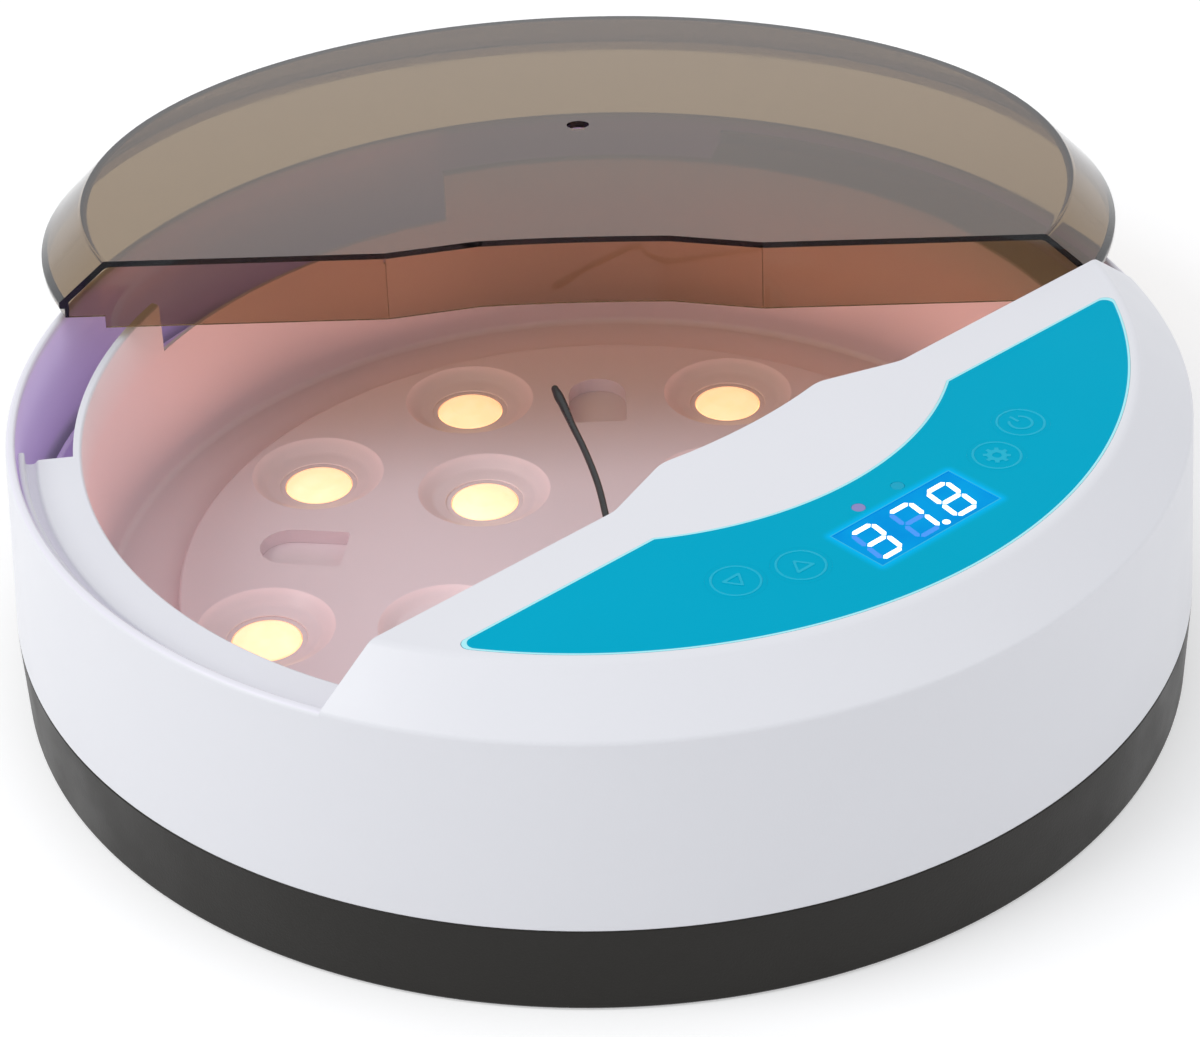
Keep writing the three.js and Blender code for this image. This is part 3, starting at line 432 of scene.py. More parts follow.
settled(contacts, brass, "drum", "brass", "inlet_pin_left", "inlet_pin_right")


# ---------------------------------------------------------------- Candling board
# A round green board under the chamber's floor with one warm emitter below each egg's seat. It
# shows only where the tray is open.
def dressed(material, *names):
    """Gives CAD nodes whose shape is right a finish of their own."""
    for name in names:
        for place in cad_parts[name].material_slots:
            place.material = material


green = moulded("solder_mask", (0.012, 0.075, 0.03), rough=0.3, grain=1.2, relief=0.1, mottle=0.25)
dressed(green, "candling_board", "control_board", "power_board")

# ---------------------------------------------------------------- Liner
# One white moulding: the egg chamber with its floor and front wall, the ledge and groove that
# the lid stands in, and the pocket behind the chamber that holds the water.
ledge, chamber_radius = 59.9, 114
floor_height, chamber_back = 14, 115.9
pocket_floor, pocket_side = 24, 127.6
pocket_right, pocket_left = 33.8, 146.2
wall_front = -52
bridge_top = 75.5
seat_places = ([polar(79, d) for d in (-7, 25, 72.5, 107.5, 155, 187)]
               + [polar(42, d) for d in (8, 90, 172)])


def wedge(from_deg, to_deg):
    """A slice between two turns about the drum's axis, larger than anything it cuts."""
    count = max(1, math.ceil((to_deg - from_deg) / 30))
    arc = [polar(280, from_deg + (to_deg - from_deg) * i / count) for i in range(count + 1)]
    return prism("tool", [(0, 0), *arc], 0, 80)


def back_edge(straight, outer, inner, swell, middle, count=14):
    """The swollen back edge of the bridge, from right to left, with its soft corners."""
    soft = 9
    points = [(outer, straight, soft), (inner, swell, soft)]
    for i in range(1, count):
        share = 0.8 * (1 - 2 * i / count)
        points.append((inner * share, middle + (swell - middle) * share ** 2))
    return points + [(-inner, swell, soft), (-outer, straight, soft)]


def bridge_plan(inset):
    back = -51.8 - inset
    edge = back_edge(back, 42, 23, -45.3 - inset, -47.3 - inset)
    return [(-135, -135), (135, -135), (135, back), *edge, (-135, back)]


liner = turned("liner_shell", [
    (0, 12.2), (chamber_back, 12.2), (chamber_back, ledge - 1.8), (122, ledge - 1.8), (122, ledge - 2.7),
    (pocket_side, ledge - 2.7), (pocket_side, 62.2, 0.5), (126.2, 62.2, 0.5),
    (126.2, ledge - 0.9, 0.6), (124.2, ledge - 0.9, 0.9),
    (123.6, ledge, 0.9), (chamber_radius, ledge, 0.7), (chamber_radius, floor_height, 1.5), (0, floor_height),
])
back_room = turned("tool", [(115, 30), (131, 30), (131, 70), (chamber_back, 70), (chamber_back, ledge),
                            (115, 59.6)])
shaped(back_room, [wedge(pocket_right, pocket_left)], "INTERSECT")
shaped(liner, [back_room])
pocket = turned("pocket", [(115, 22.2), (pocket_side, 22.2), (pocket_side, pocket_floor),
                           (126.4, pocket_floor, 0.8), (115, pocket_floor)])
shaped(pocket, [wedge(pocket_right, pocket_left)], "INTERSECT")
ends = []
for start in (pocket_right - 1.2, pocket_left):
    end = turned("tool", [(115, 22.2), (pocket_side, 22.2), (pocket_side, ledge - 1.8), (123.6, ledge - 1.8),
                          (123.6, ledge, 0.3), (115, ledge)])
    ends.append(shaped(end, [wedge(start, start + 1.2)], "INTERSECT"))
front = block((-chamber_radius, wall_front - 2, 13.5), (chamber_radius, wall_front, ledge))
shaped(front, [rod(115, 0, 70, count=AROUND)], "INTERSECT")
shaped(liner, [pocket, *ends, front], "UNION")
fan_height = 37
fan_opening = laid(rod(18.5, -3, 5, count=72), 0, wall_front - 2, fan_height)
lead_x, lead_height = -36.3, 55.6
lead_opening = laid(rod(2.7, -5, 5, count=32), lead_x, wall_front, lead_height)
weir = turned("tool", [(112, 47), (118, 47), (118, 70), (112, 70)])
shaped(weir, [wedge(67.5, 112.5)], "INTERSECT")
lip = turned("tool", [(124.7, ledge), (131, ledge), (131, 80), (124.7, 80)])
shaped(lip, [prism("tool", bridge_plan(-0.3), 50, 90)], "INTERSECT")
shaped(liner, [fan_opening, lead_opening, weir, lip, *(rod(8, 0, 16, x, y) for x, y in seat_places)])
pearl = moulded("white_liner_plastic", (0.75, 0.755, 0.8), rough=0.38, grain=0.45, relief=0.08)


def painted_inner_light_and_shade(material, radii, below, colour, strength=0.0, fade=0.0025):
    """Paints light and shade between two radii and below a height: a painted tint, and with a strength a
    painted lavender glow too.
    """
    tree = material.node_tree
    skin = tree.nodes["Principled BSDF"]
    place = tree.nodes.new("ShaderNodeTexCoord")
    height = tree.nodes.new("ShaderNodeSeparateXYZ")
    tree.links.new(place.outputs["Object"], height.inputs[0])
    flat, out = tree.nodes.new("ShaderNodeVectorMath"), tree.nodes.new("ShaderNodeVectorMath")
    flat.operation, out.operation = "MULTIPLY", "LENGTH"
    flat.inputs[1].default_value = (1, 1, 0)
    tree.links.new(place.outputs["Object"], flat.inputs[0])
    tree.links.new(flat.outputs[0], out.inputs[0])

    def product(one, other):
        both = tree.nodes.new("ShaderNodeMath")
        both.operation = "MULTIPLY"
        tree.links.new(one, both.inputs[0])
        tree.links.new(other, both.inputs[1])
        return both.outputs[0]

    share = product(ranged(tree, out.outputs["Value"], radii[0] - 0.0003, radii[0]),
                    ranged(tree, out.outputs["Value"], radii[1] + 0.0002, radii[1]))
    share = product(share, ranged(tree, height.outputs["Z"], below, below - fade))
    plain = skin.inputs["Base Color"].links[0].from_socket
    tree.links.new(between(tree, share, plain, colour), skin.inputs["Base Color"])
    # Painted glow, stronger higher up, standing in for the lamps' light through the plastic.
    if strength:
        shallow = ranged(tree, height.outputs["Z"], 0.022, 0.046, 0.15 * strength, strength)
        tree.links.new(product(share, shallow), skin.inputs["Emission Strength"])
        skin.inputs["Emission Color"].default_value = (0.55, 0.4, 0.72, 1)


# Painted warm glow: the chamber's floor, seat tray and lower walls are tinted pink, fading upwards over 14
# mm.
painted_inner_light_and_shade(pearl, (0, 0.1141), 0.0597, (0.8, 0.655, 0.685), fade=0.014)
# Painted shade and painted glow: the pocket behind the chamber and its water trays are tinted lavender and
# glow faintly.
painted_inner_light_and_shade(pearl, (0.1156, 0.14), 0.0595, (0.72, 0.61, 0.84), 0.18)
settled(liner, pearl, "drum", "liner_plastic", "inner_liner")

# ---------------------------------------------------------------- Water trays
# Three shallow loose trays, moulded to the bend of the pocket behind the chamber. They stand in
# it end to end and lift out one by one.
tray_inside, tray_outside, tray_top, tray_span = 116.2, 127.3, 37, 36.6
water_trays = []
for start in (34.8, 71.7, 108.5):
    water_tray = turned("water_trays", [
        (tray_inside, pocket_floor), (tray_outside, pocket_floor), (tray_outside, tray_top, 0.5),
        (tray_outside - 1.4, tray_top, 0.5), (tray_outside - 1.4, pocket_floor + 1.4, 1),
        (tray_inside + 1.4, pocket_floor + 1.4, 1), (tray_inside + 1.4, tray_top, 0.5),
        (tray_inside, tray_top, 0.5),
    ])
    stop = start + tray_span
    shaped(water_tray, [wedge(start, stop)], "INTERSECT")
    for first in (start, stop - 0.8):
        end = turned("tool", [(tray_inside, pocket_floor), (tray_outside, pocket_floor),
                              (tray_outside, tray_top), (tray_inside, tray_top)])
        shaped(water_tray, [shaped(end, [wedge(first, first + 0.8)], "INTERSECT")], "UNION")
    water_trays.append(water_tray)
row = shaped(water_trays[0], water_trays[1:], "UNION")
settled(row, pearl, "drum", "liner_plastic", "water_trough_left", "water_trough_back", "water_trough_right")

# ---------------------------------------------------------------- Candling lenses
# Nine domed lenses in milky polycarbonate, pushed up through the chamber's floor. The emitters
# below make them glow a warm white, and a lamp on each lens throws that light on the walls.
glow, skin = new_material("lit_lens")
skin.inputs["Roughness"].default_value = 0.3
skin.inputs["Base Color"].default_value = (1, 0.8, 0.6, 1)
warm = between(glow.node_tree, noise(glow.node_tree, 300), (1, 0.52, 0.2), (1, 0.68, 0.36))
glow.node_tree.links.new(warm, skin.inputs["Emission Color"])
skin.inputs["Emission Strength"].default_value = 0.85
lens = turned("lens", [
    (0, 10.9), (9.5, 10.9, 0.3), (9.5, 12.2, 0.3), (7.7, 12.2), (7.7, 14.1, 0.4), (6.2, 14.9, 1.5),
    (4.6, 15.65, 1.5), (2.4, 16.05, 1), (0, 16.2),
], around=64)
lenses = set_out("candling_lenses", lens, seat_places, glow)
settled(lenses, glow, "drum", "lens", *("candling_lens_%d" % i for i in range(1, 10)), sharp=50)
for i, (x, y) in enumerate(seat_places):
    emitter = bpy.data.lights.new("lens_light_%d" % (i + 1), "AREA")
    emitter.shape = "DISK"
    emitter.size = 0.014
    emitter.energy = 0.0075
    emitter.color = (1, 0.5, 0.4)
    holder = bpy.data.objects.new(emitter.name, emitter)
    bpy.context.scene.collection.objects.link(holder)
    holder.location = (x * MM, y * MM, 0.0165)
    holder.rotation_euler = (math.pi, 0, 0)
    holder.visible_camera = holder.visible_glossy = holder.visible_transmission = False

# ---------------------------------------------------------------- Seat tray
# A loose white tray on the chamber's floor: nine dished seats with a light hole each, two arched
# slots and a round hole that let the warm air through.
tray = turned("seat_tray", [(0, 14.05), (97, 14.05), (97, 17.6, 0.9), (0, 17.6)])
seats = []
for x, y in seat_places:
    seats.append(turned("tool", [
        (0, 12), (9.2, 12), (9.2, 14.35, 0.3), (12.2, 15.15, 4), (15.5, 17.4, 1.5), (17, 18.2), (17, 20),
        (0, 20),
    ], around=72, at=(x, y)))
slots = []
slot_half, slot_middle = 7, 3
arch = [polar(slot_half, 18 * i - 90) for i in range(1, 10)]
slot_plan = [(-10, -slot_half, 1), (slot_middle, -slot_half), *((slot_middle + x, y) for x, y in arch),
             (slot_middle, slot_half), (-10, slot_half, 1)]
for degrees in (49, 131):
    slot = prism("tool", slot_plan, 0, 20)
    slot.data.transform(Matrix.Rotation(math.radians(degrees), 4, "Z") @ Matrix.Translation((0.07, 0, 0)))
    slots.append(slot)
shaped(tray, [block((-100, -100, 0), (100, -47.5, 20)), *slots, rod(8, 0, 20)])
eased(tray, lambda a, b: min(a.z, b.z) > 17.58 and max(a.xy.length, b.xy.length) < 96.2, 0.4, 2)
shaped(tray, seats)
settled(tray, pearl, "drum", "liner_plastic", "egg_tray")

# ---------------------------------------------------------------- Fan, heater and power parts
# Behind the chamber's front wall: a square axial fan with its motor and seven-bladed wheel, a
# finned heater in its sheet bracket, and a small power board. The grille covers the fan's opening.
dressed(nylon, "fan_frame", "fan_impeller", "transformer")
dressed(steel, "fan_motor", "heater_bracket")
alloy = metal("extruded_aluminium", (0.6, 0.6, 0.61), rough=0.38)
dressed(alloy, "heater_element")
white = moulded("white_drum_plastic", (0.765, 0.77, 0.81), rough=0.34, grain=0.4, relief=0.07,
                mottle=0.012, specular=0.38)
# Painted shade and painted glow: the drum's inner face below its rim is tinted lavender and glows faintly.
painted_inner_light_and_shade(white, (0.12, 0.1296), 0.0652, (0.72, 0.62, 0.83), 0.21)


def bar_grille(name, radius, rim, bar, gap, thick, material):
    """A round grille of upright bars behind a ring, laid flat, in metres."""
    tree = bpy.data.node_groups.new(name + "_bars", "GeometryNodeTree")
    tree.interface.new_socket("Geometry", in_out="INPUT", socket_type="NodeSocketGeometry")
    sizes = {}
    for word, value in (("Radius", radius), ("Rim", rim), ("Bar", bar), ("Gap", gap), ("Thickness", thick)):
        sizes[word] = (tree.interface.new_socket(word, in_out="INPUT", socket_type="NodeSocketFloat"), value)
    tree.interface.new_socket("Geometry", in_out="OUTPUT", socket_type="NodeSocketGeometry")
    nodes, link = tree.nodes, tree.links.new
    start, end = nodes.new("NodeGroupInput"), nodes.new("NodeGroupOutput")

    def maths(operation, a, b=None):
        n = nodes.new("ShaderNodeMath")
        n.operation = operation
        for i, value in enumerate((a, b)):
            if value is None:
                continue
            if isinstance(value, (int, float)):
                n.inputs[i].default_value = value
            else:
                link(value, n.inputs[i])
        return n.outputs[0]

    asked = start.outputs
    pitch = maths("ADD", asked["Bar"], asked["Gap"])
    inside = maths("SUBTRACT", asked["Radius"], maths("MULTIPLY", asked["Rim"], 0.5))
    half = maths("FLOOR", maths("DIVIDE", inside, pitch))
    line = nodes.new("GeometryNodeMeshLine")
    link(maths("MULTIPLY", half, 2), line.inputs["Count"])
    low = nodes.new("ShaderNodeCombineXYZ")
    link(maths("MULTIPLY", maths("SUBTRACT", half, 0.5), maths("MULTIPLY", pitch, -1)), low.inputs["X"])
    step = nodes.new("ShaderNodeCombineXYZ")
    link(pitch, step.inputs["X"])
    link(low.outputs[0], line.inputs["Start Location"])
    link(step.outputs[0], line.inputs["Offset"])
    where = nodes.new("GeometryNodeInputPosition")
    part = nodes.new("ShaderNodeSeparateXYZ")
    link(where.outputs[0], part.inputs[0])
    chord = maths("SQRT", maths("SUBTRACT", maths("MULTIPLY", inside, inside),
                                maths("MULTIPLY", part.outputs["X"], part.outputs["X"])))
    cube = nodes.new("GeometryNodeMeshCube")
    size = nodes.new("ShaderNodeCombineXYZ")
    link(asked["Bar"], size.inputs["X"])
    size.inputs["Y"].default_value = 1
    link(asked["Thickness"], size.inputs["Z"])
    link(size.outputs[0], cube.inputs["Size"])
    copies = nodes.new("GeometryNodeInstanceOnPoints")
    scale = nodes.new("ShaderNodeCombineXYZ")
    scale.inputs["X"].default_value = scale.inputs["Z"].default_value = 1
    link(maths("MULTIPLY", chord, 2), scale.inputs["Y"])
    link(line.outputs[0], copies.inputs["Points"])
    link(cube.outputs[0], copies.inputs["Instance"])
    link(scale.outputs[0], copies.inputs["Scale"])
    hoop = nodes.new("GeometryNodeCurvePrimitiveCircle")
    hoop.inputs["Resolution"].default_value = 96
    link(inside, hoop.inputs["Radius"])
    section = nodes.new("GeometryNodeCurvePrimitiveQuadrilateral")
    link(asked["Rim"], section.inputs["Width"])
    link(asked["Thickness"], section.inputs["Height"])
    sweep = nodes.new("GeometryNodeCurveToMesh")
    link(hoop.outputs[0], sweep.inputs["Curve"])
    link(section.outputs[0], sweep.inputs["Profile Curve"])
    both = nodes.new("GeometryNodeJoinGeometry")
    real = nodes.new("GeometryNodeRealizeInstances")
    paint = nodes.new("GeometryNodeSetMaterial")
    paint.inputs["Material"].default_value = material
    link(copies.outputs[0], both.inputs[0])
    link(sweep.outputs[0], both.inputs[0])
    link(both.outputs[0], real.inputs[0])
    link(real.outputs[0], paint.inputs["Geometry"])
    link(paint.outputs[0], end.inputs[0])
    piece = bpy.data.objects.new(name, bpy.data.meshes.new(name))
    bpy.context.scene.collection.objects.link(piece)
    modifier = piece.modifiers.new("bars", "NODES")
    modifier.node_group = tree
    for socket, value in sizes.values():
        modifier[socket.identifier] = value
    return applied(piece)


grille = bar_grille("fan_grille_bars", 0.02, 0.002, 0.0018, 0.0026, 0.0011, white)
laid(grille, 0, wall_front + 0.6, fan_height)
settled(grille, white, "drum", "liner_plastic", "fan_grille")

# ---------------------------------------------------------------- Drum shell
# The glossy white upper half of the case: a drum wall that swells a little to its foot, with the
# hollow control bridge moulded across its front. Its rim and the bridge's edges are soft.
rim_radius, rim_inside, rim, cover_foot = 130, 127.9, 65, 60.2
shell = turned("drum_shell", [(130.7, base_height), (belly_radius, base_height, 0.45),
                              (rim_radius, rim, 1.2), (rim_inside, rim, 0.6)])
foot_share = (rim - cover_foot) / (rim - base_height)
cover = turned("cover", [(0, cover_foot), (rim_radius + (belly_radius - rim_radius) * foot_share, cover_foot),
                         (rim_radius, rim, 1.6), (117.5, bridge_top, 3), (0, bridge_top)])
shaped(cover, [prism("tool", bridge_plan(0), 50, 90)], "INTERSECT")
hollow = turned("tool", [(0, 50), (rim_inside, 50), (rim_inside, 63.9), (116.4, 73.3), (0, 73.3)])
shaped(hollow, [prism("tool", bridge_plan(2.2), 40, 90)], "INTERSECT")
shaped(cover, [hollow])
eased(cover, lambda a, b: min(a.z, b.z) > rim + 0.5 and max(a.y, b.y) > wall_front - 0.2, 0.9, 4)
shaped(shell, [cover], "UNION")


def film_outline(grow=0.0):
    """The keypad film's outline: a round front, straight back edges and a curved middle."""
    outer, corner, front, inner = 115.8 + grow, 2, -64.4 + grow, 77.4 - grow
    corner_x = math.sqrt((outer - corner) ** 2 - (front - corner) ** 2)
    meet = math.atan2(front - corner, corner_x)
    kink_x = math.sqrt(inner ** 2 - front ** 2)
    kink = math.atan2(front, kink_x)
    points = []
    for i in range(97):
        a = -math.pi - meet + (meet * 2 + math.pi) * i / 96
        points.append((outer * math.cos(a), outer * math.sin(a)))
    for i in range(1, 9):
        a = meet + (math.pi / 2 - meet) * i / 8
        points.append((corner_x + corner * math.cos(a), front - corner + corner * math.sin(a)))
    for i in range(65):
        a = kink + (-math.pi - kink * 2) * i / 64
        points.append((inner * math.cos(a), inner * math.sin(a)))
    for i in range(8):
        a = math.pi / 2 + (math.pi / 2 - meet) * i / 8
        points.append((-corner_x + corner * math.cos(a), front - corner + corner * math.sin(a)))
    return points


key_degrees = {"key_down": -115.6, "key_up": -107.3, "key_settings": -72.7, "key_power": -64.4}
key_places = {name: polar(96.2, d) for name, d in key_degrees.items()}
indicator_places = {"left": (-5.7, -85.4), "right": (5.7, -85.4)}
window_y, window_half_x, window_half_y = -96, 17, 7


def window_block(grow, low, high=80):
    """A block over the display, larger or smaller than its window by the same on all sides."""
    x, y = window_half_x + grow, window_half_y + grow
    return block((-x, window_y - y, low), (x, window_y + y, high))


shaped(shell, [prism("tool", film_outline(0.06), bridge_top - 0.4, 80)])
shaped(shell, [window_block(0.3, 60),
               *(rod(6.5, 74.4, 80, x, y) for x, y in key_places.values()),
               *(rod(2.3, rim, 80, x, y) for x, y in key_places.values()),
               *(rod(1.7, rim, 80, x, y) for x, y in indicator_places.values())])
settled(shell, white, "drum", "shell_plastic", "outer_shell")

# ---------------------------------------------------------------- Control board
# Switches and the display module stand on the board under the bridge, out of sight.
dressed(nylon, "display_module", "switch_down", "switch_up", "switch_settings", "switch_power")

# ---------------------------------------------------------------- Keypad film
# A back-printed polycarbonate film, laid into its bed on the bridge. Its cut edge catches the
# light: a thin pale painted highlight runs round it and a bluer painted one round the display.
film_blue, film_shine = (0.0, 0.385, 0.575), 0.015
teal = moulded("teal_film", film_blue, rough=0.38, grain=0.6, relief=0.04, mottle=0.03, specular=film_shine)
# Painted highlights: a pale one for the film's cut edge and a bluer one for the window's edge.
film_edge_highlight = moulded("film_cut_edge", (0.42, 0.86, 0.92), rough=0.3, grain=0.5, relief=0.05,
                    specular=film_shine)
window_edge_highlight = moulded("window_cut_edge", (0.04, 0.5, 0.78), rough=0.3, grain=0.5, relief=0.05,
                    specular=film_shine)
film = prism("film_sheet", film_outline(), bridge_top - 0.38, bridge_top)
shaped(film, [window_block(0.15, 70),
              *(rod(6.22, 70, 80, x, y, 72) for x, y in key_places.values()),
              *(rod(1.5, 70, 80, x, y, 32) for x, y in indicator_places.values())])
# Thin raised bands at the film's edge and round the window take the painted highlights.
film_highlight_band = prism("tool", film_outline(), bridge_top - 0.1, bridge_top + 0.03)
shaped(film_highlight_band, [prism("tool", film_outline(-0.5), bridge_top - 1, bridge_top + 1)])
window_highlight_band = window_block(0.35, bridge_top - 0.1, bridge_top + 0.03)
shaped(window_highlight_band, [window_block(0.1, 70)])
shaped(film, [film_highlight_band, window_highlight_band], "UNION")
film_faces = []
for face in film.data.polygons:
    x, y = face.center.x / MM, face.center.y / MM
    at_window = abs(x) < window_half_x + 1 and abs(y - window_y) < window_half_y + 1
    film_faces.append(0 if face.center.z < (bridge_top + 0.01) * MM else 2 if at_window else 1)
settled(film, [teal, film_edge_highlight, window_edge_highlight], "drum", "film", "keypad_film", sharp=20)
film.data.polygons.foreach_set("material_index", film_faces)

# Painted glow: the film's border round the lit window glows blue of its own, fading out over 2.4 mm.
tree, skin = teal.node_tree, teal.node_tree.nodes["Principled BSDF"]
away = tree.nodes.new("ShaderNodeTexCoord").outputs["Object"]
for operation, other in (("SUBTRACT", (0, window_y * MM, bridge_top * MM)), ("ABSOLUTE", None),
                         ("SUBTRACT", (window_half_x * MM, window_half_y * MM, MM)),
                         ("MAXIMUM", (0, 0, 0)), ("LENGTH", None)):
    step = tree.nodes.new("ShaderNodeVectorMath")
    step.operation = operation
    if other:
        step.inputs[1].default_value = other
    tree.links.new(away, step.inputs[0])
    away = step.outputs["Value" if operation == "LENGTH" else "Vector"]
painted_window_glow = ranged(tree, away, 0, 0.0024, 0.4, 0)
painted_window_glow.node.interpolation_type = "SMOOTHSTEP"
tree.links.new(painted_window_glow, skin.inputs["Emission Strength"])
skin.inputs["Emission Color"].default_value = (0, 0.22, 0.8, 1)

# ---------------------------------------------------------------- Keys
# Each key is a round dome in the film with a raised ring and a raised sign: down, up, a gear for
# the settings, and the power sign. A short stem below it reaches the switch.
# The raised ring and sign are a lighter blue than the film: a painted highlight on the relief.
key_relief_highlight = moulded("key_print", (0.0, 0.44, 0.62), rough=0.3, grain=0.6, relief=0.04, specular=0.15)


def sign_arrow(way):
    return [[(-2.6, -1.7 * way, 0.3), (2.6, -1.7 * way, 0.3), (0, 2.4 * way, 0.3)]]


def sign_gear():
    points = []
    for i in range(8):
        for r, a in ((2.1, -13), (2.9, -8), (2.9, 8), (2.1, 13)):
            points.append(polar(r, 45 * i + a))
    return [points]


def sign_power():
    arc = [polar(2.7, d) for d in range(125, 416, 12)]
    back = [polar(2.15, d) for d in range(413, 124, -12)]
    return [arc + back, [(-0.3, 0.6), (0.3, 0.6), (0.3, 3.1), (-0.3, 3.1)]]


signs = {"key_down": sign_arrow(-1), "key_up": sign_arrow(1), "key_settings": sign_gear(),
         "key_power": sign_power()}
for name, (x, y) in key_places.items():
    cap = turned(name + "_dome", [(0, 69), (2, 69, 0.2), (2, bridge_top - 0.4), (6.2, bridge_top - 0.4),
                                  (6.2, bridge_top), (0, bridge_top)], around=72, at=(x, y))
    raised = [turned("tool", [(4.75, 75.3), (5.25, 75.3), (5.25, 75.6, 0.1), (4.75, 75.6, 0.1)],
                     around=72, at=(x, y))]
    for plan in signs[name]:
        sign = prism("tool", plan, 75.3, 75.58)
        if name == "key_settings":
            shaped(sign, [rod(1.0, 74, 77, count=24)])
        elif name != "key_power":
            inner = [(p[0] * 0.62, p[1] * 0.62, 0.15) for p in plan]
            shaped(sign, [prism("tool", inner, 74, 77)])
        sign.data.transform(Matrix.Translation((x * MM, y * MM, 0)))
        raised.append(sign)
    shaped(cap, raised, "UNION")
    kinds = [1 if face.center.z > (bridge_top + 0.02) * MM else 0 for face in cap.data.polygons]
    settled(cap, [teal, key_relief_highlight], name[4:] + "_key", "key_film", name)
    cap.data.polygons.foreach_set("material_index", kinds)

# ---------------------------------------------------------------- Display
# A blue lit window flush with the film, with three seven-segment digits and a point behind it.
# Segments that are off show faintly.
lit_blue, skin = new_material("display_blue")
skin.inputs["Base Color"].default_value = (0.0, 0.02, 0.06, 1)
skin.inputs["Specular IOR Level"].default_value = 0.01
skin.inputs["Roughness"].default_value = 0.2
backlight = between(lit_blue.node_tree, noise(lit_blue.node_tree, 120), (0.0, 0.22, 0.66), (0.0, 0.38, 0.76))
lit_blue.node_tree.links.new(backlight, skin.inputs["Emission Color"])
skin.inputs["Emission Strength"].default_value = 1
window = window_block(0, 74.3, bridge_top - 0.02)
window.name = "display_pane"
eased(window, lambda a, b: min(a.z, b.z) > bridge_top - 0.1, 0.15, 1)
settled(window, lit_blue, "drum", "display_blue", "display_window")


def glowing(name, colour, strength, specular=0.5):
    """A lit segment: even light with a faint mottle."""
    material, skin = new_material(name)
    tree = material.node_tree
    light = between(tree, noise(tree, 900), [c * 0.93 for c in colour], colour)
    tree.links.new(light, skin.inputs["Base Color"])
    tree.links.new(light, skin.inputs["Emission Color"])
    skin.inputs["Emission Strength"].default_value = strength
    skin.inputs["Roughness"].default_value = 0.2
    skin.inputs["Specular IOR Level"].default_value = specular
    return material


digit_light = glowing("digit_white", (0.92, 0.97, 1.0), 1.0)
digit_off = glowing("digit_off", (0.012, 0.17, 0.55), 0.75)
digit_high, digit_wide, stroke, slant = 11.4, 7.0, 1.25, 0.16
bars = {
    "top": (0, 1, 1, 1), "middle": (0, 0.5, 1, 0.5), "bottom": (0, 0, 1, 0),
    "upper_left": (0, 1, 0, 0.5), "upper_right": (1, 1, 1, 0.5),
    "lower_left": (0, 0.5, 0, 0), "lower_right": (1, 0.5, 1, 0),
}
digits = {
    -11.8: ("top", "upper_right", "middle", "lower_right", "bottom"),
    -0.9: ("top", "upper_right", "lower_right"),
    10.0: tuple(bars),
}


def segment(bm, x, bar, high):
    x0, y0, x1, y1 = bars[bar]
    wide, tall = digit_wide - stroke, digit_high - stroke
    start = Vector(((x0 - 0.5) * wide, (y0 - 0.5) * tall))
    end = Vector(((x1 - 0.5) * wide, (y1 - 0.5) * tall))
    way = (end - start).normalized()
    side = Vector((-way.y, way.x)) * stroke / 2
    start, end = start + way * 0.22, end - way * 0.22
    ring = [start, start + way * stroke / 2 + side, end - way * stroke / 2 + side, end,
            end - way * stroke / 2 - side, start + way * stroke / 2 - side]
    low = [bm.verts.new(((x + p.x + p.y * slant) * MM, (p.y - 96.4) * MM, (bridge_top - 0.04) * MM))
           for p in ring]
    top = [bm.verts.new((v.co.x, v.co.y, high * MM)) for v in low]
    bm.faces.new(low)
    bm.faces.new(top)
    for i in range(6):
        bm.faces.new((low[i], low[(i + 1) % 6], top[(i + 1) % 6], top[i]))


bm_on, bm_off = bmesh.new(), bmesh.new()
for x, lit in digits.items():
    for bar in bars:
        segment(bm_on if bar in lit else bm_off, x, bar, bridge_top + (0.03 if bar in lit else 0.005))
on = made("display_digits", bm_on)
point = turned("tool", [(0, 75.46), (0.85, 75.46), (0.85, 75.53), (0, 75.53)], around=24, at=(3.1, -101.4))
shaped(on, [point], "UNION")
settled(on, digit_light, "drum", "display_blue")
settled(made("display_off_segments", bm_off), digit_off, "drum", "display_blue")

# ---------------------------------------------------------------- Indicators
# Two small lights shine through clear dots in the film above the display; the left one is lit.
lights = {"left": glowing("indicator_pink", (0.24, 0.24, 0.5), 0.1, specular=0.1),
          "right": glowing("indicator_unlit", film_blue, 0.0, specular=0.1)}
for side, place in indicator_places.items():
    dot = turned("indicator_dot_" + side, [(0, 67.4), (1.46, 67.4), (1.46, bridge_top, 0.1), (0, bridge_top)],
                 around=32, at=place)
    settled(dot, lights[side], "drum", "indicator", "indicator_" + side)

# ---------------------------------------------------------------- Temperature probe
# A black sleeved lead comes through a rubber grommet under the bridge and holds itself over the
# eggs, with the sensor in a dipped bead on its end.
route = [
    (lead_x, -55.5, lead_height), (lead_x, -51, lead_height), (-34.6, -45.4, 55.8), (-32.2, -41, 56),
    (-29.7, -36.8, 56.3), (-27.3, -33.1, 56.6), (-24.9, -29.4, 56.9), (-22.5, -25.9, 57.2),
    (-19.3, -20.9, 57.6), (-16, -15.2, 57.9), (-12.3, -8.3, 58.2), (-8.6, -0.9, 58.4),
    (-5, 5.9, 58.6), (-3.3, 9.4, 58.8), (-1.7, 12.7, 58.95),
]
thickness = [0.75] * 11 + [0.8, 1.0, 1.12, 0.85]


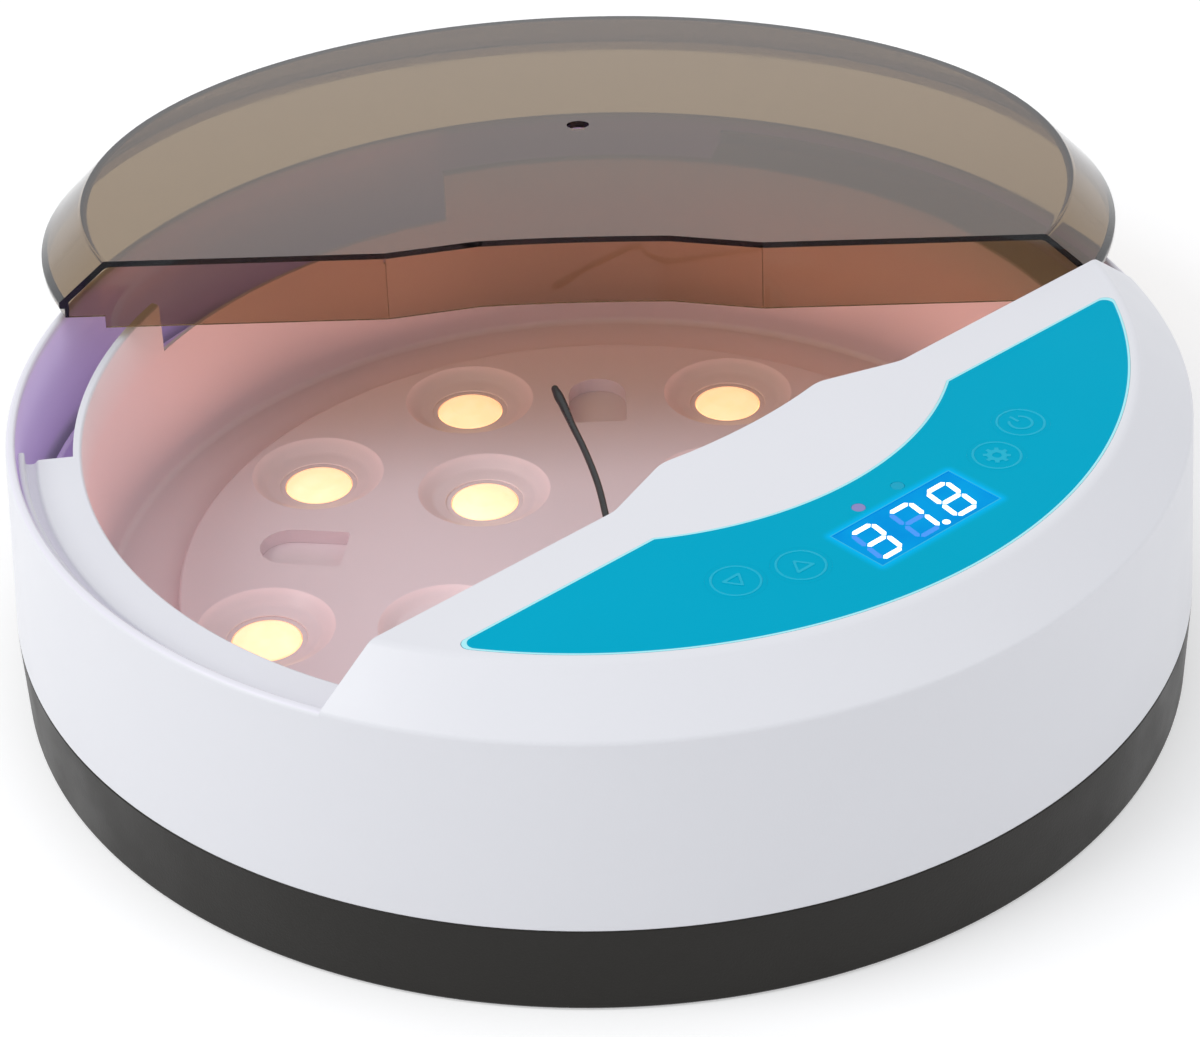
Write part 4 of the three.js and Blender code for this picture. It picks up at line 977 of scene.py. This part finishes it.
def swept(name, points, radii, around=20, per_span=5):
    """A round tube of changing thickness along a smooth route, in mm."""
    stations = []
    for i in range(len(points) - 1):
        p = [Vector(points[min(max(k, 0), len(points) - 1)]) for k in (i - 1, i, i + 1, i + 2)]
        r = [radii[min(max(k, 0), len(radii) - 1)] for k in (i, i + 1)]
        for k in range(per_span):
            t = k / per_span
            at = 0.5 * ((2 * p[1]) + (p[2] - p[0]) * t + (2 * p[0] - 5 * p[1] + 4 * p[2] - p[3]) * t * t
                        + (3 * p[1] - p[0] - 3 * p[2] + p[3]) * t ** 3)
            stations.append((at, r[0] + (r[1] - r[0]) * (3 * t * t - 2 * t ** 3)))
    stations.append((Vector(points[-1]), radii[-1]))
    tip_way = (stations[-1][0] - stations[-2][0]).normalized()
    tip, tip_radius = stations[-1]
    for k in range(1, 5):
        a = math.pi / 2 * k / 5
        stations.append((tip + tip_way * tip_radius * math.sin(a), tip_radius * math.cos(a)))
    bm = bmesh.new()
    rows = []
    for i, (at, radius) in enumerate(stations):
        ahead = stations[min(i + 1, len(stations) - 1)][0] - stations[max(i - 1, 0)][0]
        side = ahead.cross(Vector((0, 0, 1))).normalized()
        up = side.cross(ahead).normalized()
        rows.append([bm.verts.new((at + (side * math.cos(2 * math.pi * k / around)
                                         + up * math.sin(2 * math.pi * k / around)) * radius) * MM)
                     for k in range(around)])
    for a, b in zip(rows, rows[1:]):
        for k in range(around):
            bm.faces.new((a[k], a[(k + 1) % around], b[(k + 1) % around], b[k]))
    bm.faces.new(rows[0])
    bm.faces.new(rows[-1])
    return made(name, bm)


sleeve = moulded("black_sleeve", (0.008, 0.008, 0.008), rough=0.3, grain=0.5, relief=0.25, mottle=0.2)
probe = swept("probe_lead", route, thickness)
settled(probe, sleeve, "drum", "black_plastic", "probe_stem", "probe_bead", sharp=60)
dressed(rubber, "probe_grommet")

# ---------------------------------------------------------------- Lid
# One clear smoked moulding, polished: flat top, chamfer, a band that stands on the rim, and a
# front wall that drops to the ledge. It lies turned and set back, tilted over the open chamber.
smoke, skin = new_material("smoked_clear_plastic")
tree = smoke.node_tree
skin.inputs["Base Color"].default_value = (1, 1, 1, 1)
skin.inputs["Transmission Weight"].default_value = 1
skin.inputs["IOR"].default_value = 1.49
tree.links.new(ranged(tree, noise(tree, 45, 6), 0.35, 0.75, 0.02, 0.07), skin.inputs["Roughness"])
smoke_depth = tree.nodes.new("ShaderNodeVolumeAbsorption")
smoke_depth.inputs["Color"].default_value = (0.476, 0.318, 0.03, 1)
smoke_depth.inputs["Density"].default_value = 1250
# Lamps shine through it without caustics.
pass_lamps = tree.nodes.new("ShaderNodeMixShader")
tree.links.new(tree.nodes.new("ShaderNodeLightPath").outputs["Is Shadow Ray"], pass_lamps.inputs[0])
tree.links.new(skin.outputs[0], pass_lamps.inputs[1])
tree.links.new(tree.nodes.new("ShaderNodeBsdfTransparent").outputs[0], pass_lamps.inputs[2])
tree.links.new(pass_lamps.outputs[0], tree.nodes["Material Output"].inputs["Surface"])
tree.links.new(smoke_depth.outputs[0], tree.nodes["Material Output"].inputs["Volume"])


def lid_plan(inset):
    straight = -50.4 + inset
    edge = back_edge(straight, 43, 22, -44.6 + inset, -43.8 + inset)
    return [(135, straight), (135, 135), (-135, 135), (-135, straight),
            *(p[:2] for p in reversed(edge))]


lid_foot, wall_foot, front_wall = -16.3, -18.3, 1.15
lid = turned("smoked_lid", [(0, lid_foot), (127.5, lid_foot), (127.5, -11.3), (128.6, -11.3, 0.4),
                            (128.6, -9.9, 0.6), (118.4, 0, 0.7), (0, 0)])
shaped(lid, [prism("tool", lid_plan(0), -20, 5)], "INTERSECT")
# Its walls thin out to the foot of the band.
inside = turned("tool", [(0, wall_foot), (126.9, wall_foot), (126.2, -12), (126.2, -10.09, 0.5),
                         (117.56, -1.7, 2.5), (0, -1.7)])
shaped(inside, [prism("tool", lid_plan(front_wall), -20, 5)], "INTERSECT")
shaped(lid, [inside])
low_wall = prism("tool", lid_plan(-0.5), wall_foot, -13.5)
shaped(low_wall, [prism("tool", lid_plan(front_wall), -20, 0)])
shaped(low_wall, [block((-108, -60, -19), (108, -40, -12))], "INTERSECT")
below = block((-140, -140, -20), (140, 140, -13.5))
shaped(below, [low_wall])
shaped(lid, [below, rod(2.8, -4, 2, 0, 31.8)])
eased(lid, lambda a, b: min(a.z, b.z) > -0.02 and max(a.y, b.y) < -40, 0.7, 2)
# The front wall bends at two fine upright lines.
shaped(lid, [rod(0.3, -17, -1.2, x, -50.4, count=4) for x in (-43, 43)])
lid.data.transform(
    Matrix.Translation((0.05303, 0.06607, 0.07374)) @ Matrix.Rotation(math.radians(-42.27), 4, "Z")
    @ Matrix.Rotation(math.radians(-0.46), 4, "Y") @ Matrix.Rotation(math.radians(-7.39), 4, "X"))
settled(lid, smoke, "lid", "lid_plastic", "lid_shell", sharp=13)
